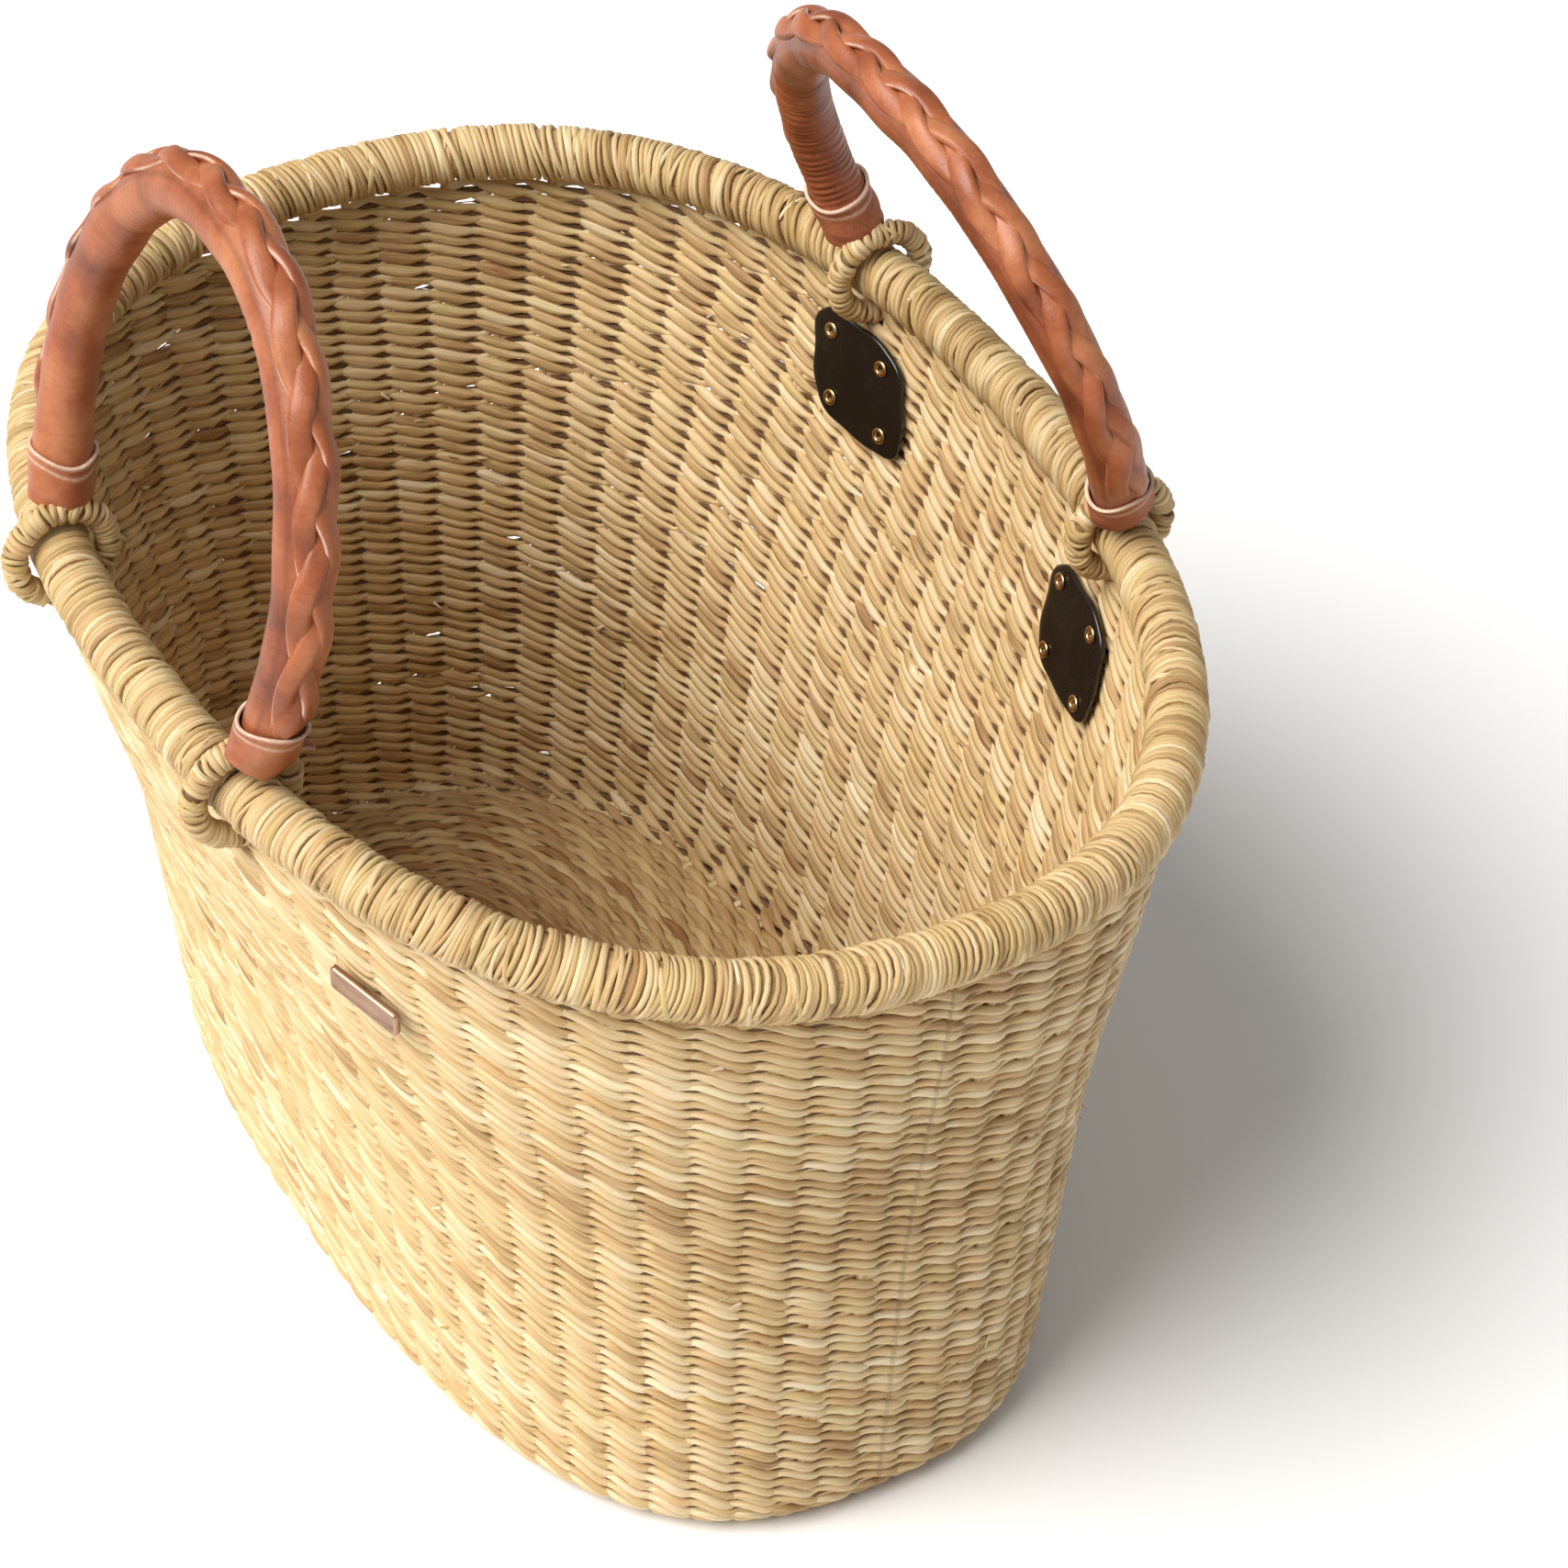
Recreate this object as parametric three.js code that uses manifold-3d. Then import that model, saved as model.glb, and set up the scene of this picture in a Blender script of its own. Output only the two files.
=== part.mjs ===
// A hand-woven grass pannier basket with two swinging, leather-covered handles.
// Millimetres. X runs along the basket, +Y faces the bicycle rack, and +Z is up.
// The origin is the middle of the base, on the surface that the basket stands on.
import * as THREE from 'three';
import { mergeVertices } from 'three/addons/utils/BufferGeometryUtils.js';
import Module from 'manifold-3d';

const wasm = await Module();
wasm.setup();

// ---- driving dimensions -------------------------------------------------

const gap = 0.3; // left between pieces that touch
const around = 48; // facets round the basket

// Middle of the wall at the base and middle of the rim, as superellipses.
const base = { halfLength: 176.6, halfWidth: 101.8, exponent: 2.6 };
const rim = { halfLength: 200, halfWidth: 143, exponent: 2.3, height: 240 };
const rimTwist = 2.3; // the corners of the rim rise and fall by this much
const narrowing = 0.031; // the +X end of the rim is narrower by this fraction
const taper = { slope: 0.7, flareStart: 0.45, flareEnd: 0.955 };

const wallThickness = 6;
const baseThickness = 5;
const cornerInset = 13; // how far the base's edge lies inside the wall's middle
// The wall's rounded foot and its heights above it, as [outward, height] points and heights.
const footOutside = [[-9, 0], [-3, 2.5], [1, 7], [3, 14]];
const footInside = [[-4, 14], [-6.5, 7], [-cornerInset, baseThickness], [-cornerInset, 0]];
const wallLevels = [30, 80, 120, 150, 180, 205, 222];

const rimRadius = 8.9;
const rimWrapThickness = 2;
const rimCoreRadius = rimRadius - rimWrapThickness - 3 * gap;

const loop = { cordRadius: 3.9, innerRadius: 10.5 };
const loopMiddleRadius = loop.innerRadius + loop.cordRadius;

const tubeSides = 8; // facets round every part of a handle
const handleSection = { core: 6.5, cover: 8.3, cuff: 9.8, lacing: 10.6 };
const handleStart = 22; // height of the handle's ends above the rim's middle
const cuff = { low: 9, high: 30 };
const handleSteps = 22; // facets along a handle
const lacing = { skippedSteps: 1, halfAngle: 32 };
const rimClearance = 13.5; // radius kept free round the rim for the handles to swing

// side: -1 is the front, +1 the back. The lean is inward, in degrees.
const handles = [
  { name: 'front', side: -1, middle: -5.7, halfSpan: 60.7, height: 142, lean: 13.2 },
  { name: 'rear', side: 1, middle: -4.8, halfSpan: 70, height: 128, lean: 19.7 },
];
const arch = { exponent: 2.89, bulge: 0.239 };

// Riveted on by hand, so neither is true. The upper rivets lie a skew nearer to -X than the
// lower ones, and the rivets at +X a drop below the others.
const brackets = [
  {
    name: 'left', x: -70.8, z: 203, halfLength: 22.5, halfHeight: 18.5,
    rivetRise: 20.7, skew: 6.6, drop: 0, hookTop: 16.5,
  },
  {
    name: 'right', x: 60.8, z: 195.3, halfLength: 20.5, halfHeight: 18.5,
    rivetRise: 23, skew: 2.5, drop: 2.7, hookTop: 22.5,
  },
];
const plate = { squareness: 0.85, lobes: 0.05, thickness: 1.6, offset: 4.9 };
const rivetSpacing = 24;
const rivet = {
  headRadius: 2.7, shankRadius: 1.8, boreRadius: 1.1, headHeight: 1.1, headEdge: 0.3, chamfer: 0.6,
};
const hook = {
  width: 38, foot: 17, thickness: 2.5, strip: 18, gap: 14, drop: 20, offset: 5, root: 3, chamfer: 2,
};

const label = {
  x: 103, z: 199, length: 24.5, height: 10, thickness: 2, border: 1.2, recess: 0.6, standOff: 1.6,
};
const labelTilt = -15; // degrees, its +X end is the lower one
const labelPin = { radius: 0.7, spacing: 14, length: 4, root: 0.5 };

const tail = { length: 5.5, width: 5, thickness: 2.4, height: 18 }; // loose leather end at one cuff

// ---- materials ----------------------------------------------------------

const material = (color, roughness, metalness = 0) =>
  new THREE.MeshStandardMaterial({ color, roughness, metalness });
const grass = material(0xcfb27a, 0.75);
const paleGrass = material(0xdcc48c, 0.7);
const leather = material(0xa8583a, 0.5);
const blackLeather = material(0x17130f, 0.35);
const blackSteel = material(0x1c1c1e, 0.45, 0.6);
const brass = material(0xb98a4e, 0.3, 0.9);
const roseBrass = material(0xc08d6c, 0.35, 0.8);

// ---- helpers ------------------------------------------------------------

const basket = new THREE.Group();
const degrees = THREE.MathUtils.degToRad;

function addMesh(name, geometry, finish, parent) {
  const mesh = new THREE.Mesh(geometry, finish);
  mesh.name = name;
  parent.add(mesh);
  return mesh;
}

// A closed geometry as a manifold-3d solid.
function solid(geometry) {
  const bare = geometry.clone();
  bare.deleteAttribute('normal');
  bare.deleteAttribute('uv');
  const merged = mergeVertices(bare, 1e-4);
  return new wasm.Manifold(new wasm.Mesh({
    numProp: 3,
    vertProperties: new Float32Array(merged.attributes.position.array),
    triVerts: new Uint32Array(merged.index.array),
  }));
}

function geometryOf(manifold) {
  const mesh = manifold.getMesh();
  const geometry = new THREE.BufferGeometry();
  geometry.setAttribute('position', new THREE.BufferAttribute(mesh.vertProperties, 3));
  geometry.setIndex(new THREE.BufferAttribute(mesh.triVerts, 1));
  return geometry;
}

// Cuts solids out of a geometry and keeps the largest piece, without any slivers.
function cut(geometry, cutters) {
  const pieces = cutters.map(solid);
  const rest = pieces.reduce((whole, piece) => whole.subtract(piece), solid(geometry));
  const parts = rest.decompose().sort((one, other) => other.volume() - one.volume());
  return geometryOf(parts[0]);
}

const signedPower = (value, power) => Math.sign(value) * Math.abs(value) ** power;

// 0 at the base, 1 at the rim: a straight taper with a flare under the rim.
function widening(fraction) {
  const straight = taper.slope * Math.min(fraction, taper.flareEnd);
  const flare = THREE.MathUtils.smoothstep(fraction, taper.flareStart, taper.flareEnd);
  return straight + (1 - taper.slope * taper.flareEnd) * flare;
}

// The point at an angle round the basket, at a height, and a distance outward
// from the middle of the wall.
function wallPoint(angle, height, outward) {
  const fraction = height / rim.height;
  const share = widening(fraction);
  const a = THREE.MathUtils.lerp(base.halfLength, rim.halfLength, share);
  const b = THREE.MathUtils.lerp(base.halfWidth, rim.halfWidth, share);
  const n = THREE.MathUtils.lerp(base.exponent, rim.exponent, share);
  const c = Math.cos(angle);
  const x = a * signedPower(c, 2 / n);
  const y = b * signedPower(Math.sin(angle), 2 / n) * (1 - narrowing * c * share);
  const normal = new THREE.Vector2(signedPower(x / a, n - 1) / a, signedPower(y / b, n - 1) / b);
  normal.normalize().multiplyScalar(outward);
  const rise = -rimTwist * Math.sin(2 * angle) * fraction;
  return new THREE.Vector3(x + normal.x, y + normal.y, height + rise);
}

// The same point found from its X instead of its angle.
function wallPointAtX(x, side, height, outward) {
  let low = 0;
  let high = Math.PI;
  for (let step = 0; step < 40; step += 1) {
    const middle = (low + high) / 2;
    if (wallPoint(side * middle, height, outward).x > x) low = middle;
    else high = middle;
  }
  return wallPoint(side * low, height, outward);
}

// A closed profile of [outward, height] points swept round the basket.
const sweepRadius = 150;
function roundBasket(profile) {
  const points = profile.map(([outward, height]) => new THREE.Vector2(sweepRadius + outward, height));
  const geometry = new THREE.LatheGeometry([...points, points[0]], around);
  geometry.rotateX(Math.PI / 2);
  const position = geometry.attributes.position;
  for (let i = 0; i < position.count; i += 1) {
    const angle = Math.atan2(position.getY(i), position.getX(i));
    const outward = Math.hypot(position.getX(i), position.getY(i)) - sweepRadius;
    const point = wallPoint(angle, position.getZ(i), outward);
    position.setXYZ(i, point.x, point.y, point.z);
  }
  return mergeVertices(onlyPosition(geometry), 1e-4);
}

function onlyPosition(geometry) {
  geometry.deleteAttribute('normal');
  geometry.deleteAttribute('uv');
  return geometry;
}

// Points along a circular arc, in degrees, with both ends.
function arcPoints(radius, from, to, count, centreY = 0) {
  return Array.from({ length: count + 1 }, (_, i) => {
    const angle = degrees(THREE.MathUtils.lerp(from, to, i / count));
    return [radius * Math.cos(angle), centreY + radius * Math.sin(angle)];
  });
}

function circle(radius, sides) {
  const turn = 360 / sides;
  const points = arcPoints(radius, 0, 360 - turn, sides - 1);
  return points.map(([x, y]) => new THREE.Vector2(x, y));
}

// ---- the woven body -----------------------------------------------------

function buildWall() {
  const half = wallThickness / 2;
  const top = rim.height - rimCoreRadius - gap;
  const heights = [...wallLevels, top];
  const outside = heights.map((z) => [half, z]);
  const inside = heights.map((z) => [-half, z]).reverse();
  return roundBasket([...footOutside, ...outside, ...inside, ...footInside]);
}

function buildBase() {
  const outline = [];
  for (let i = 0; i < around; i += 1) {
    const point = wallPoint((2 * Math.PI * i) / around, 0, -cornerInset - gap);
    outline.push(new THREE.Vector2(point.x, point.y));
  }
  const shape = new THREE.Shape(outline);
  return new THREE.ExtrudeGeometry(shape, { depth: baseThickness, bevelEnabled: false });
}

// The wrap is open below, where the top of the wall goes up into it.
function buildRimWrap() {
  const inner = rimRadius - rimWrapThickness;
  const slot = wallThickness / 2 + gap;
  const outerStart = THREE.MathUtils.radToDeg(Math.asin(slot / rimRadius)) - 90;
  const innerStart = THREE.MathUtils.radToDeg(Math.asin(slot / inner)) - 90;
  const outer = arcPoints(rimRadius, outerStart, 180 - outerStart, 9, rim.height);
  const bore = arcPoints(inner, 180 - innerStart, innerStart, 7, rim.height);
  return roundBasket([...outer, ...bore]);
}

function buildRimCore() {
  return roundBasket(arcPoints(rimCoreRadius, 0, 315, 7, rim.height));
}

// ---- frames on the basket -----------------------------------------------

// A group whose Y points out of the wall, Z up its slope, and X level along it.
function groupOnWall(x, side, height) {
  const step = 4;
  const centre = wallPointAtX(x, side, height, 0);
  const alongWall = wallPointAtX(x + step, side, height, 0).sub(wallPointAtX(x - step, side, height, 0));
  const upWall = wallPointAtX(x, side, height + step, 0).sub(wallPointAtX(x, side, height - step, 0));
  const outward = alongWall.cross(upWall).multiplyScalar(-side).normalize();
  const up = upWall.normalize();
  const along = outward.clone().cross(up);
  const group = new THREE.Group();
  group.quaternion.setFromRotationMatrix(new THREE.Matrix4().makeBasis(along, outward, up));
  group.position.copy(centre);
  basket.add(group);
  group.updateMatrixWorld(true);
  return group;
}

// A group on a handle's hinge axis: X along the axis, leaning with the handle.
function groupOnHinge(handle) {
  const [start, end] = [-1, 1].map((way) =>
    wallPointAtX(handle.middle + way * handle.halfSpan, handle.side, rim.height, 0));
  const hinge = new THREE.Group();
  hinge.position.lerpVectors(start, end, 0.5);
  hinge.quaternion.setFromUnitVectors(new THREE.Vector3(1, 0, 0), end.clone().sub(start).normalize());
  basket.add(hinge);
  const leaning = new THREE.Group();
  leaning.rotation.x = handle.side * degrees(handle.lean);
  hinge.add(leaning);
  hinge.updateMatrixWorld(true);
  return leaning;
}

// ---- handles ------------------------------------------------------------

// The handle's middle line in its own X-Z plane, from one height round to the same.
class HandleArch extends THREE.Curve {
  constructor(handle, startHeight) {
    super();
    this.handle = handle;
    this.start = Math.asin((startHeight / handle.height) ** (arch.exponent / 2));
  }

  getPoint(t, target = new THREE.Vector3()) {
    const angle = THREE.MathUtils.lerp(this.start, Math.PI - this.start, t);
    const rise = Math.sin(angle) ** (2 / arch.exponent);
    const widened = 1 + arch.bulge * 4 * rise * (1 - rise);
    const x = -this.handle.halfSpan * signedPower(Math.cos(angle), 2 / arch.exponent) * widened;
    return target.set(x, 0, this.handle.height * rise);
  }
}

// A stretch of a longer curve, by shares of its length.
class Stretch extends THREE.Curve {
  constructor(whole, from, to) {
    super();
    Object.assign(this, { whole, from, to });
  }

  getPoint(t, target = new THREE.Vector3()) {
    return this.whole.getPointAt(THREE.MathUtils.lerp(this.from, this.to, t), target);
  }
}

// One leg's middle line between two heights; way is -1 or +1.
class HandleLeg extends THREE.Curve {
  constructor(handle, way, low, high) {
    super();
    Object.assign(this, { handle, way, low, high });
  }

  getPoint(t, target = new THREE.Vector3()) {
    const height = THREE.MathUtils.lerp(this.low, this.high, t);
    const point = new HandleArch(this.handle, height).getPoint(0);
    return target.set(-this.way * point.x, 0, height);
  }
}

function sweep(shape, path, steps) {
  return new THREE.ExtrudeGeometry(shape, { extrudePath: path, steps, bevelEnabled: false });
}

function ringShape(outer, inner) {
  const shape = new THREE.Shape(circle(outer, tubeSides));
  shape.holes.push(new THREE.Path(circle(inner, tubeSides).reverse()));
  return shape;
}

// A strip that hugs the outer side of the cover.
function lacingShape() {
  const inner = handleSection.cover + gap;
  const from = -90 - lacing.halfAngle;
  const to = -90 + lacing.halfAngle;
  const points = [...arcPoints(handleSection.lacing, from, to, 4), ...arcPoints(inner, to, from, 4)];
  return new THREE.Shape(points.map(([x, y]) => new THREE.Vector2(x, y)));
}

function loopRing(x, cordRadius) {
  const ring = new THREE.TorusGeometry(loopMiddleRadius, cordRadius, 8, 20);
  ring.rotateY(Math.PI / 2);
  ring.translate(x, 0, 0);
  return onlyPosition(ring);
}

// The cuff closes over the top of its loop and stays clear of the rim.
function buildCuff(handle, way) {
  const x = way * handle.halfSpan;
  const leg = new HandleLeg(handle, way, cuff.low, cuff.high);
  const sleeve = sweep(ringShape(handleSection.cuff, handleSection.cover + gap), leg, 4);
  const free = new THREE.CylinderGeometry(rimClearance, rimClearance, 4 * handleSection.cuff, 24);
  free.rotateZ(Math.PI / 2);
  free.translate(x, 0, 0);
  return cut(sleeve, [loopRing(x, loop.cordRadius + gap), free]);
}

function buildHandle(handle) {
  const frame = groupOnHinge(handle);
  const path = new HandleArch(handle, handleStart);
  const core = new THREE.Shape(circle(handleSection.core, tubeSides));
  const cover = ringShape(handleSection.cover, handleSection.core + gap);
  addMesh(`${handle.name}_handle_core`, sweep(core, path, handleSteps), grass, frame);
  addMesh(`${handle.name}_handle_cover`, sweep(cover, path, handleSteps), leather, frame);
  const skipped = lacing.skippedSteps / handleSteps;
  const edge = new Stretch(path, skipped, 1 - skipped);
  const strip = sweep(lacingShape(), edge, handleSteps - 2 * lacing.skippedSteps);
  addMesh(`${handle.name}_handle_lacing`, strip, leather, frame);
  for (const [way, place] of [[-1, 'left'], [1, 'right']]) {
    const name = `${handle.name}_${place}`;
    addMesh(`${name}_cuff`, buildCuff(handle, way), leather, frame);
    addMesh(`${name}_loop`, loopRing(way * handle.halfSpan, loop.cordRadius), paleGrass, frame);
  }
  return frame;
}

// The loose end of the leather strip at the front handle's right cuff.
function buildTail(frame, handle) {
  const foot = new HandleLeg(handle, 1, tail.height, cuff.high).getPoint(0);
  const shape = new THREE.Shape();
  shape.moveTo(0, -tail.width / 2);
  shape.lineTo(tail.length - tail.width / 2, -tail.width / 2);
  shape.absarc(tail.length - tail.width / 2, 0, tail.width / 2, -Math.PI / 2, Math.PI / 2, false);
  shape.lineTo(0, tail.width / 2);
  const geometry = new THREE.ExtrudeGeometry(shape, {
    depth: tail.thickness, bevelEnabled: false, curveSegments: 6,
  });
  geometry.translate(handleSection.cuff + gap, 0, -tail.thickness / 2);
  geometry.rotateZ(Math.PI / 2);
  geometry.translate(foot.x, 0, foot.z);
  addMesh(`${handle.name}_right_strap_end`, geometry, leather, frame);
}

// ---- brackets, rivets and label -----------------------------------------

// Where a point of a true bracket ends up on one with this bracket's skew and drop.
function skewed(bracket, x, z) {
  return [x - (z * bracket.skew) / bracket.rivetRise, z - (x * bracket.drop) / rivetSpacing];
}

function rivetPlaces(bracket) {
  const corners = [[-1, -1], [1, -1], [-1, 1], [1, 1]];
  return corners.map(([x, z]) => skewed(bracket, (x * rivetSpacing) / 2, (z * bracket.rivetRise) / 2));
}

function withRivetHoles(shape, bracket) {
  for (const [x, z] of rivetPlaces(bracket)) {
    const hole = circle(rivet.shankRadius + gap, 10).map((p) => new THREE.Vector2(p.x + x, p.y + z));
    shape.holes.push(new THREE.Path(hole.reverse()));
  }
  return shape;
}

// Stands a shape drawn in X-Y up on the wall and gives it a thickness outward.
function standOnWall(shape, thickness, nearFace) {
  const geometry = new THREE.ExtrudeGeometry(shape, { depth: thickness, bevelEnabled: false });
  geometry.rotateX(Math.PI / 2);
  geometry.translate(0, nearFace + thickness, 0);
  return geometry;
}

// An oval patch with a soft lobe at each rivet.
function buildBackingPlate(bracket) {
  const outline = [];
  for (let i = 0; i < 32; i += 1) {
    const angle = (2 * Math.PI * i) / 32;
    const swell = 1 - plate.lobes * Math.cos(4 * angle);
    const x = bracket.halfLength * signedPower(Math.cos(angle), plate.squareness) * swell;
    const z = bracket.halfHeight * signedPower(Math.sin(angle), plate.squareness) * swell;
    outline.push(new THREE.Vector2(...skewed(bracket, x, z)));
  }
  const shape = withRivetHoles(new THREE.Shape(outline), bracket);
  return standOnWall(shape, plate.thickness, -plate.offset - plate.thickness);
}

// A flat plate with a strip at its top that runs out and turns down.
function buildHook(bracket) {
  const top = bracket.hookTop;
  const flat = new THREE.Shape();
  flat.moveTo(-hook.width / 2, -hook.foot);
  flat.lineTo(hook.width / 2, -hook.foot);
  flat.lineTo(hook.width / 2, top);
  flat.lineTo(-hook.width / 2, top);
  const back = standOnWall(withRivetHoles(flat, bracket), hook.thickness, hook.offset);

  const { thickness, drop, root, chamfer } = hook;
  const nearFace = hook.offset;
  const farFace = nearFace + thickness + hook.gap + thickness;
  const side = new THREE.Shape();
  side.moveTo(nearFace, top - root);
  side.lineTo(nearFace, top + thickness);
  side.lineTo(farFace - chamfer, top + thickness);
  side.lineTo(farFace, top + thickness - chamfer);
  side.lineTo(farFace, top - drop);
  side.lineTo(farFace - thickness, top - drop);
  side.lineTo(farFace - thickness, top);
  side.lineTo(nearFace + thickness, top);
  side.lineTo(nearFace + thickness, top - root);
  const strip = new THREE.ExtrudeGeometry(side, { depth: hook.strip, bevelEnabled: false });
  strip.translate(0, 0, -hook.strip / 2);
  // The shape's X becomes the outward Y, its Y becomes Z, and its depth becomes X.
  strip.applyMatrix4(new THREE.Matrix4().set(0, 0, 1, 0, 1, 0, 0, 0, 0, 1, 0, 0, 0, 0, 0, 1));
  return geometryOf(solid(back).add(solid(strip)));
}

// A tube with a head at each end, open through its middle.
function buildRivet() {
  const inner = -plate.offset - plate.thickness - gap;
  const outer = hook.offset + hook.thickness + gap;
  const { boreRadius: bore, shankRadius: shank, headRadius: head, headHeight: high } = rivet;
  const { headEdge: edge, chamfer } = rivet;
  const innerHead = [[bore, inner - high], [head - chamfer, inner - high], [head, inner - edge], [head, inner]];
  const outerHead = [[head, outer], [head, outer + edge], [head - chamfer, outer + high], [bore, outer + high]];
  const profile = [...innerHead, [shank, inner], [shank, outer], ...outerHead];
  const points = profile.map(([radius, along]) => new THREE.Vector2(radius, along));
  return onlyPosition(new THREE.LatheGeometry([...points, points[0]], 8));
}

function buildBracket(bracket) {
  const frame = groupOnWall(bracket.x, 1, bracket.z);
  addMesh(`${bracket.name}_backing_plate`, buildBackingPlate(bracket), blackLeather, frame);
  addMesh(`${bracket.name}_rack_hook`, buildHook(bracket), blackSteel, frame);
  const holes = rivetPlaces(bracket).map(([x, z], i) => {
    const mesh = addMesh(`${bracket.name}_rivet_${i + 1}`, buildRivet(), brass, frame);
    mesh.position.set(x, 0, z);
    const hole = new THREE.CylinderGeometry(rivet.shankRadius + gap, rivet.shankRadius + gap, 20, 10);
    hole.translate(x, 0, z);
    return hole.applyMatrix4(frame.matrixWorld);
  });
  return holes;
}

// A plain plate with a raised border, held by two pins that go into the wall.
function buildLabel() {
  const frame = groupOnWall(label.x, -1, label.z);
  const near = wallThickness / 2 + label.standOff;
  const rectangle = (length, height) => {
    const shape = new THREE.Shape();
    shape.moveTo(-length / 2, -height / 2);
    shape.lineTo(length / 2, -height / 2);
    shape.lineTo(length / 2, height / 2);
    shape.lineTo(-length / 2, height / 2);
    return shape;
  };
  const body = standOnWall(rectangle(label.length, label.height), label.thickness, near);
  const inside = rectangle(label.length - 2 * label.border, label.height - 2 * label.border);
  const recess = standOnWall(inside, label.thickness, near + label.thickness - label.recess);
  const pin = (x, radius, reach) => {
    const length = labelPin.length + reach;
    const geometry = new THREE.CylinderGeometry(radius, radius, length, 8);
    geometry.translate(x, near + labelPin.root - length / 2, 0);
    return geometry;
  };
  const turn = new THREE.Matrix4().makeRotationY(degrees(labelTilt));
  const places = [-labelPin.spacing / 2, labelPin.spacing / 2];
  const pinned = places.reduce((rest, x) => rest.add(solid(pin(x, labelPin.radius, 0))), solid(body));
  const geometry = geometryOf(pinned.subtract(solid(recess)));
  addMesh('label_plate', geometry.applyMatrix4(turn), roseBrass, frame);
  const holes = places.map((x) => pin(x, labelPin.radius + gap, gap));
  return holes.map((hole) => hole.applyMatrix4(turn).applyMatrix4(frame.matrixWorld));
}

// ---- assembly -----------------------------------------------------------

addMesh('woven_base', buildBase(), grass, basket);
addMesh('rim_core', buildRimCore(), grass, basket);
addMesh('rim_wrap', buildRimWrap(), paleGrass, basket);

const wallHoles = [...brackets.flatMap(buildBracket), ...buildLabel()];
for (const handle of handles) {
  const frame = buildHandle(handle);
  for (const way of [-1, 1]) {
    const hole = loopRing(way * handle.halfSpan, loop.cordRadius + gap + 0.3);
    wallHoles.push(hole.applyMatrix4(frame.matrixWorld));
  }
  if (handle.name === 'front') buildTail(frame, handle);
}
addMesh('woven_wall', cut(buildWall(), wallHoles), grass, basket);

export default basket;
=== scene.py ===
"""A twined elephant-grass pannier basket with two leather-covered handles.

Metres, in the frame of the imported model: X runs along the basket, +Y faces the bicycle
rack, +Z is up, and the origin is the middle of the base.
"""
import math

import bpy
import numpy as np
from mathutils import Matrix, Vector


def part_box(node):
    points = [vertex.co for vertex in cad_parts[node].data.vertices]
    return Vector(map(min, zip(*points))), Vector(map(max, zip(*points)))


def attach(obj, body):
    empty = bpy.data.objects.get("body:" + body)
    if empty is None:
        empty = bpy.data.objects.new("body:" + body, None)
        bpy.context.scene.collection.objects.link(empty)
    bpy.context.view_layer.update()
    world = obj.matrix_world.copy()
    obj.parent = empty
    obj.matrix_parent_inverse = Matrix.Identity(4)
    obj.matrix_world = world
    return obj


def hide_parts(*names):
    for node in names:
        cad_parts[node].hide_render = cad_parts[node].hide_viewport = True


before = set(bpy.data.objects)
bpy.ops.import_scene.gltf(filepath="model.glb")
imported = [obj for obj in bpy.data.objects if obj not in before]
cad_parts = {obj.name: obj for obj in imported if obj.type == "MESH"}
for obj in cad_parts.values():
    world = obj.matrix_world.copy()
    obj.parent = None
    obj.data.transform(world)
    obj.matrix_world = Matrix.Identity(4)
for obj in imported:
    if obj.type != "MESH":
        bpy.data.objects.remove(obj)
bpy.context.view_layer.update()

MM = 0.001
TAU = 2 * math.pi
random = np.random.default_rng(7)

# ---- driving dimensions ---------------------------------------------------

RIM_RADIUS = 8.9 * MM
RIM_CORE_RADIUS = 6.0 * MM
BASE_INSET = 13.3 * MM  # from the edge of the woven base out to the middle of the wall
EXPONENTS = (2.6, 2.3)  # superellipse exponents of the base and the rim
RIM_TWIST = 2.3 * MM  # the rim rises and falls by this much, twice round
NARROWING = 0.031  # how much less wide the basket is at +X than in the middle
TAPER = dict(slope=0.7, flare_start=0.45, flare_end=0.955)

RIBS = 72
ROW_PITCH = 4.1 * MM
ROWS_PER_PIECE = 6
FOOT_RADIUS = 9 * MM
FLOOR_HEIGHT = 2.7 * MM  # middle of the woven base above the ground
STROKE_STEPS = 8
STRAND_SIDES = 8
WEAVE_DEPTH = 0.85 * MM
WEAVE_RISE = 2.45 * MM
STRAND_THICKNESS = 1.35 * MM  # half of it, as all the sections' sizes here
STRAND_GIRTH = 1.5 * MM  # the radius that its fibre pattern is drawn on
DEPTH_LEAD = 0.32  # a strand comes to the front a little before the one it crosses dives

LOOP = dict(cord=3.9 * MM, middle=14.4 * MM)
COVER_RADIUS = 8.3 * MM
CUFF_RADIUS = 9.8 * MM
HANDLE_START = 22 * MM
ARCH = dict(exponent=2.89, bulge=0.239)
HANDLES = {
    "front": dict(side=-1, height=142 * MM, lean=13.2),
    "rear": dict(side=1, height=128 * MM, lean=19.7),
}

# ---- mesh helpers -----------------------------------------------------------


def unit(vectors):
    return vectors / np.maximum(np.linalg.norm(vectors, axis=-1, keepdims=True), 1e-12)


def signed_power(value, power):
    return np.sign(value) * np.abs(value) ** power


def smoothstep(value, low, high):
    share = np.clip((value - low) / (high - low), 0, 1)
    return share * share * (3 - 2 * share)


def circle(count):
    """Angles that part a full turn evenly."""
    return TAU * np.arange(count) / count


def running_length(points):
    """The distance travelled along a path, at each of its points."""
    return np.concatenate([[0], np.cumsum(np.linalg.norm(np.diff(points, axis=0), axis=1))])


def resampled(points, length, even):
    return np.stack([np.interp(even, length, column) for column in points.T], -1)


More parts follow.
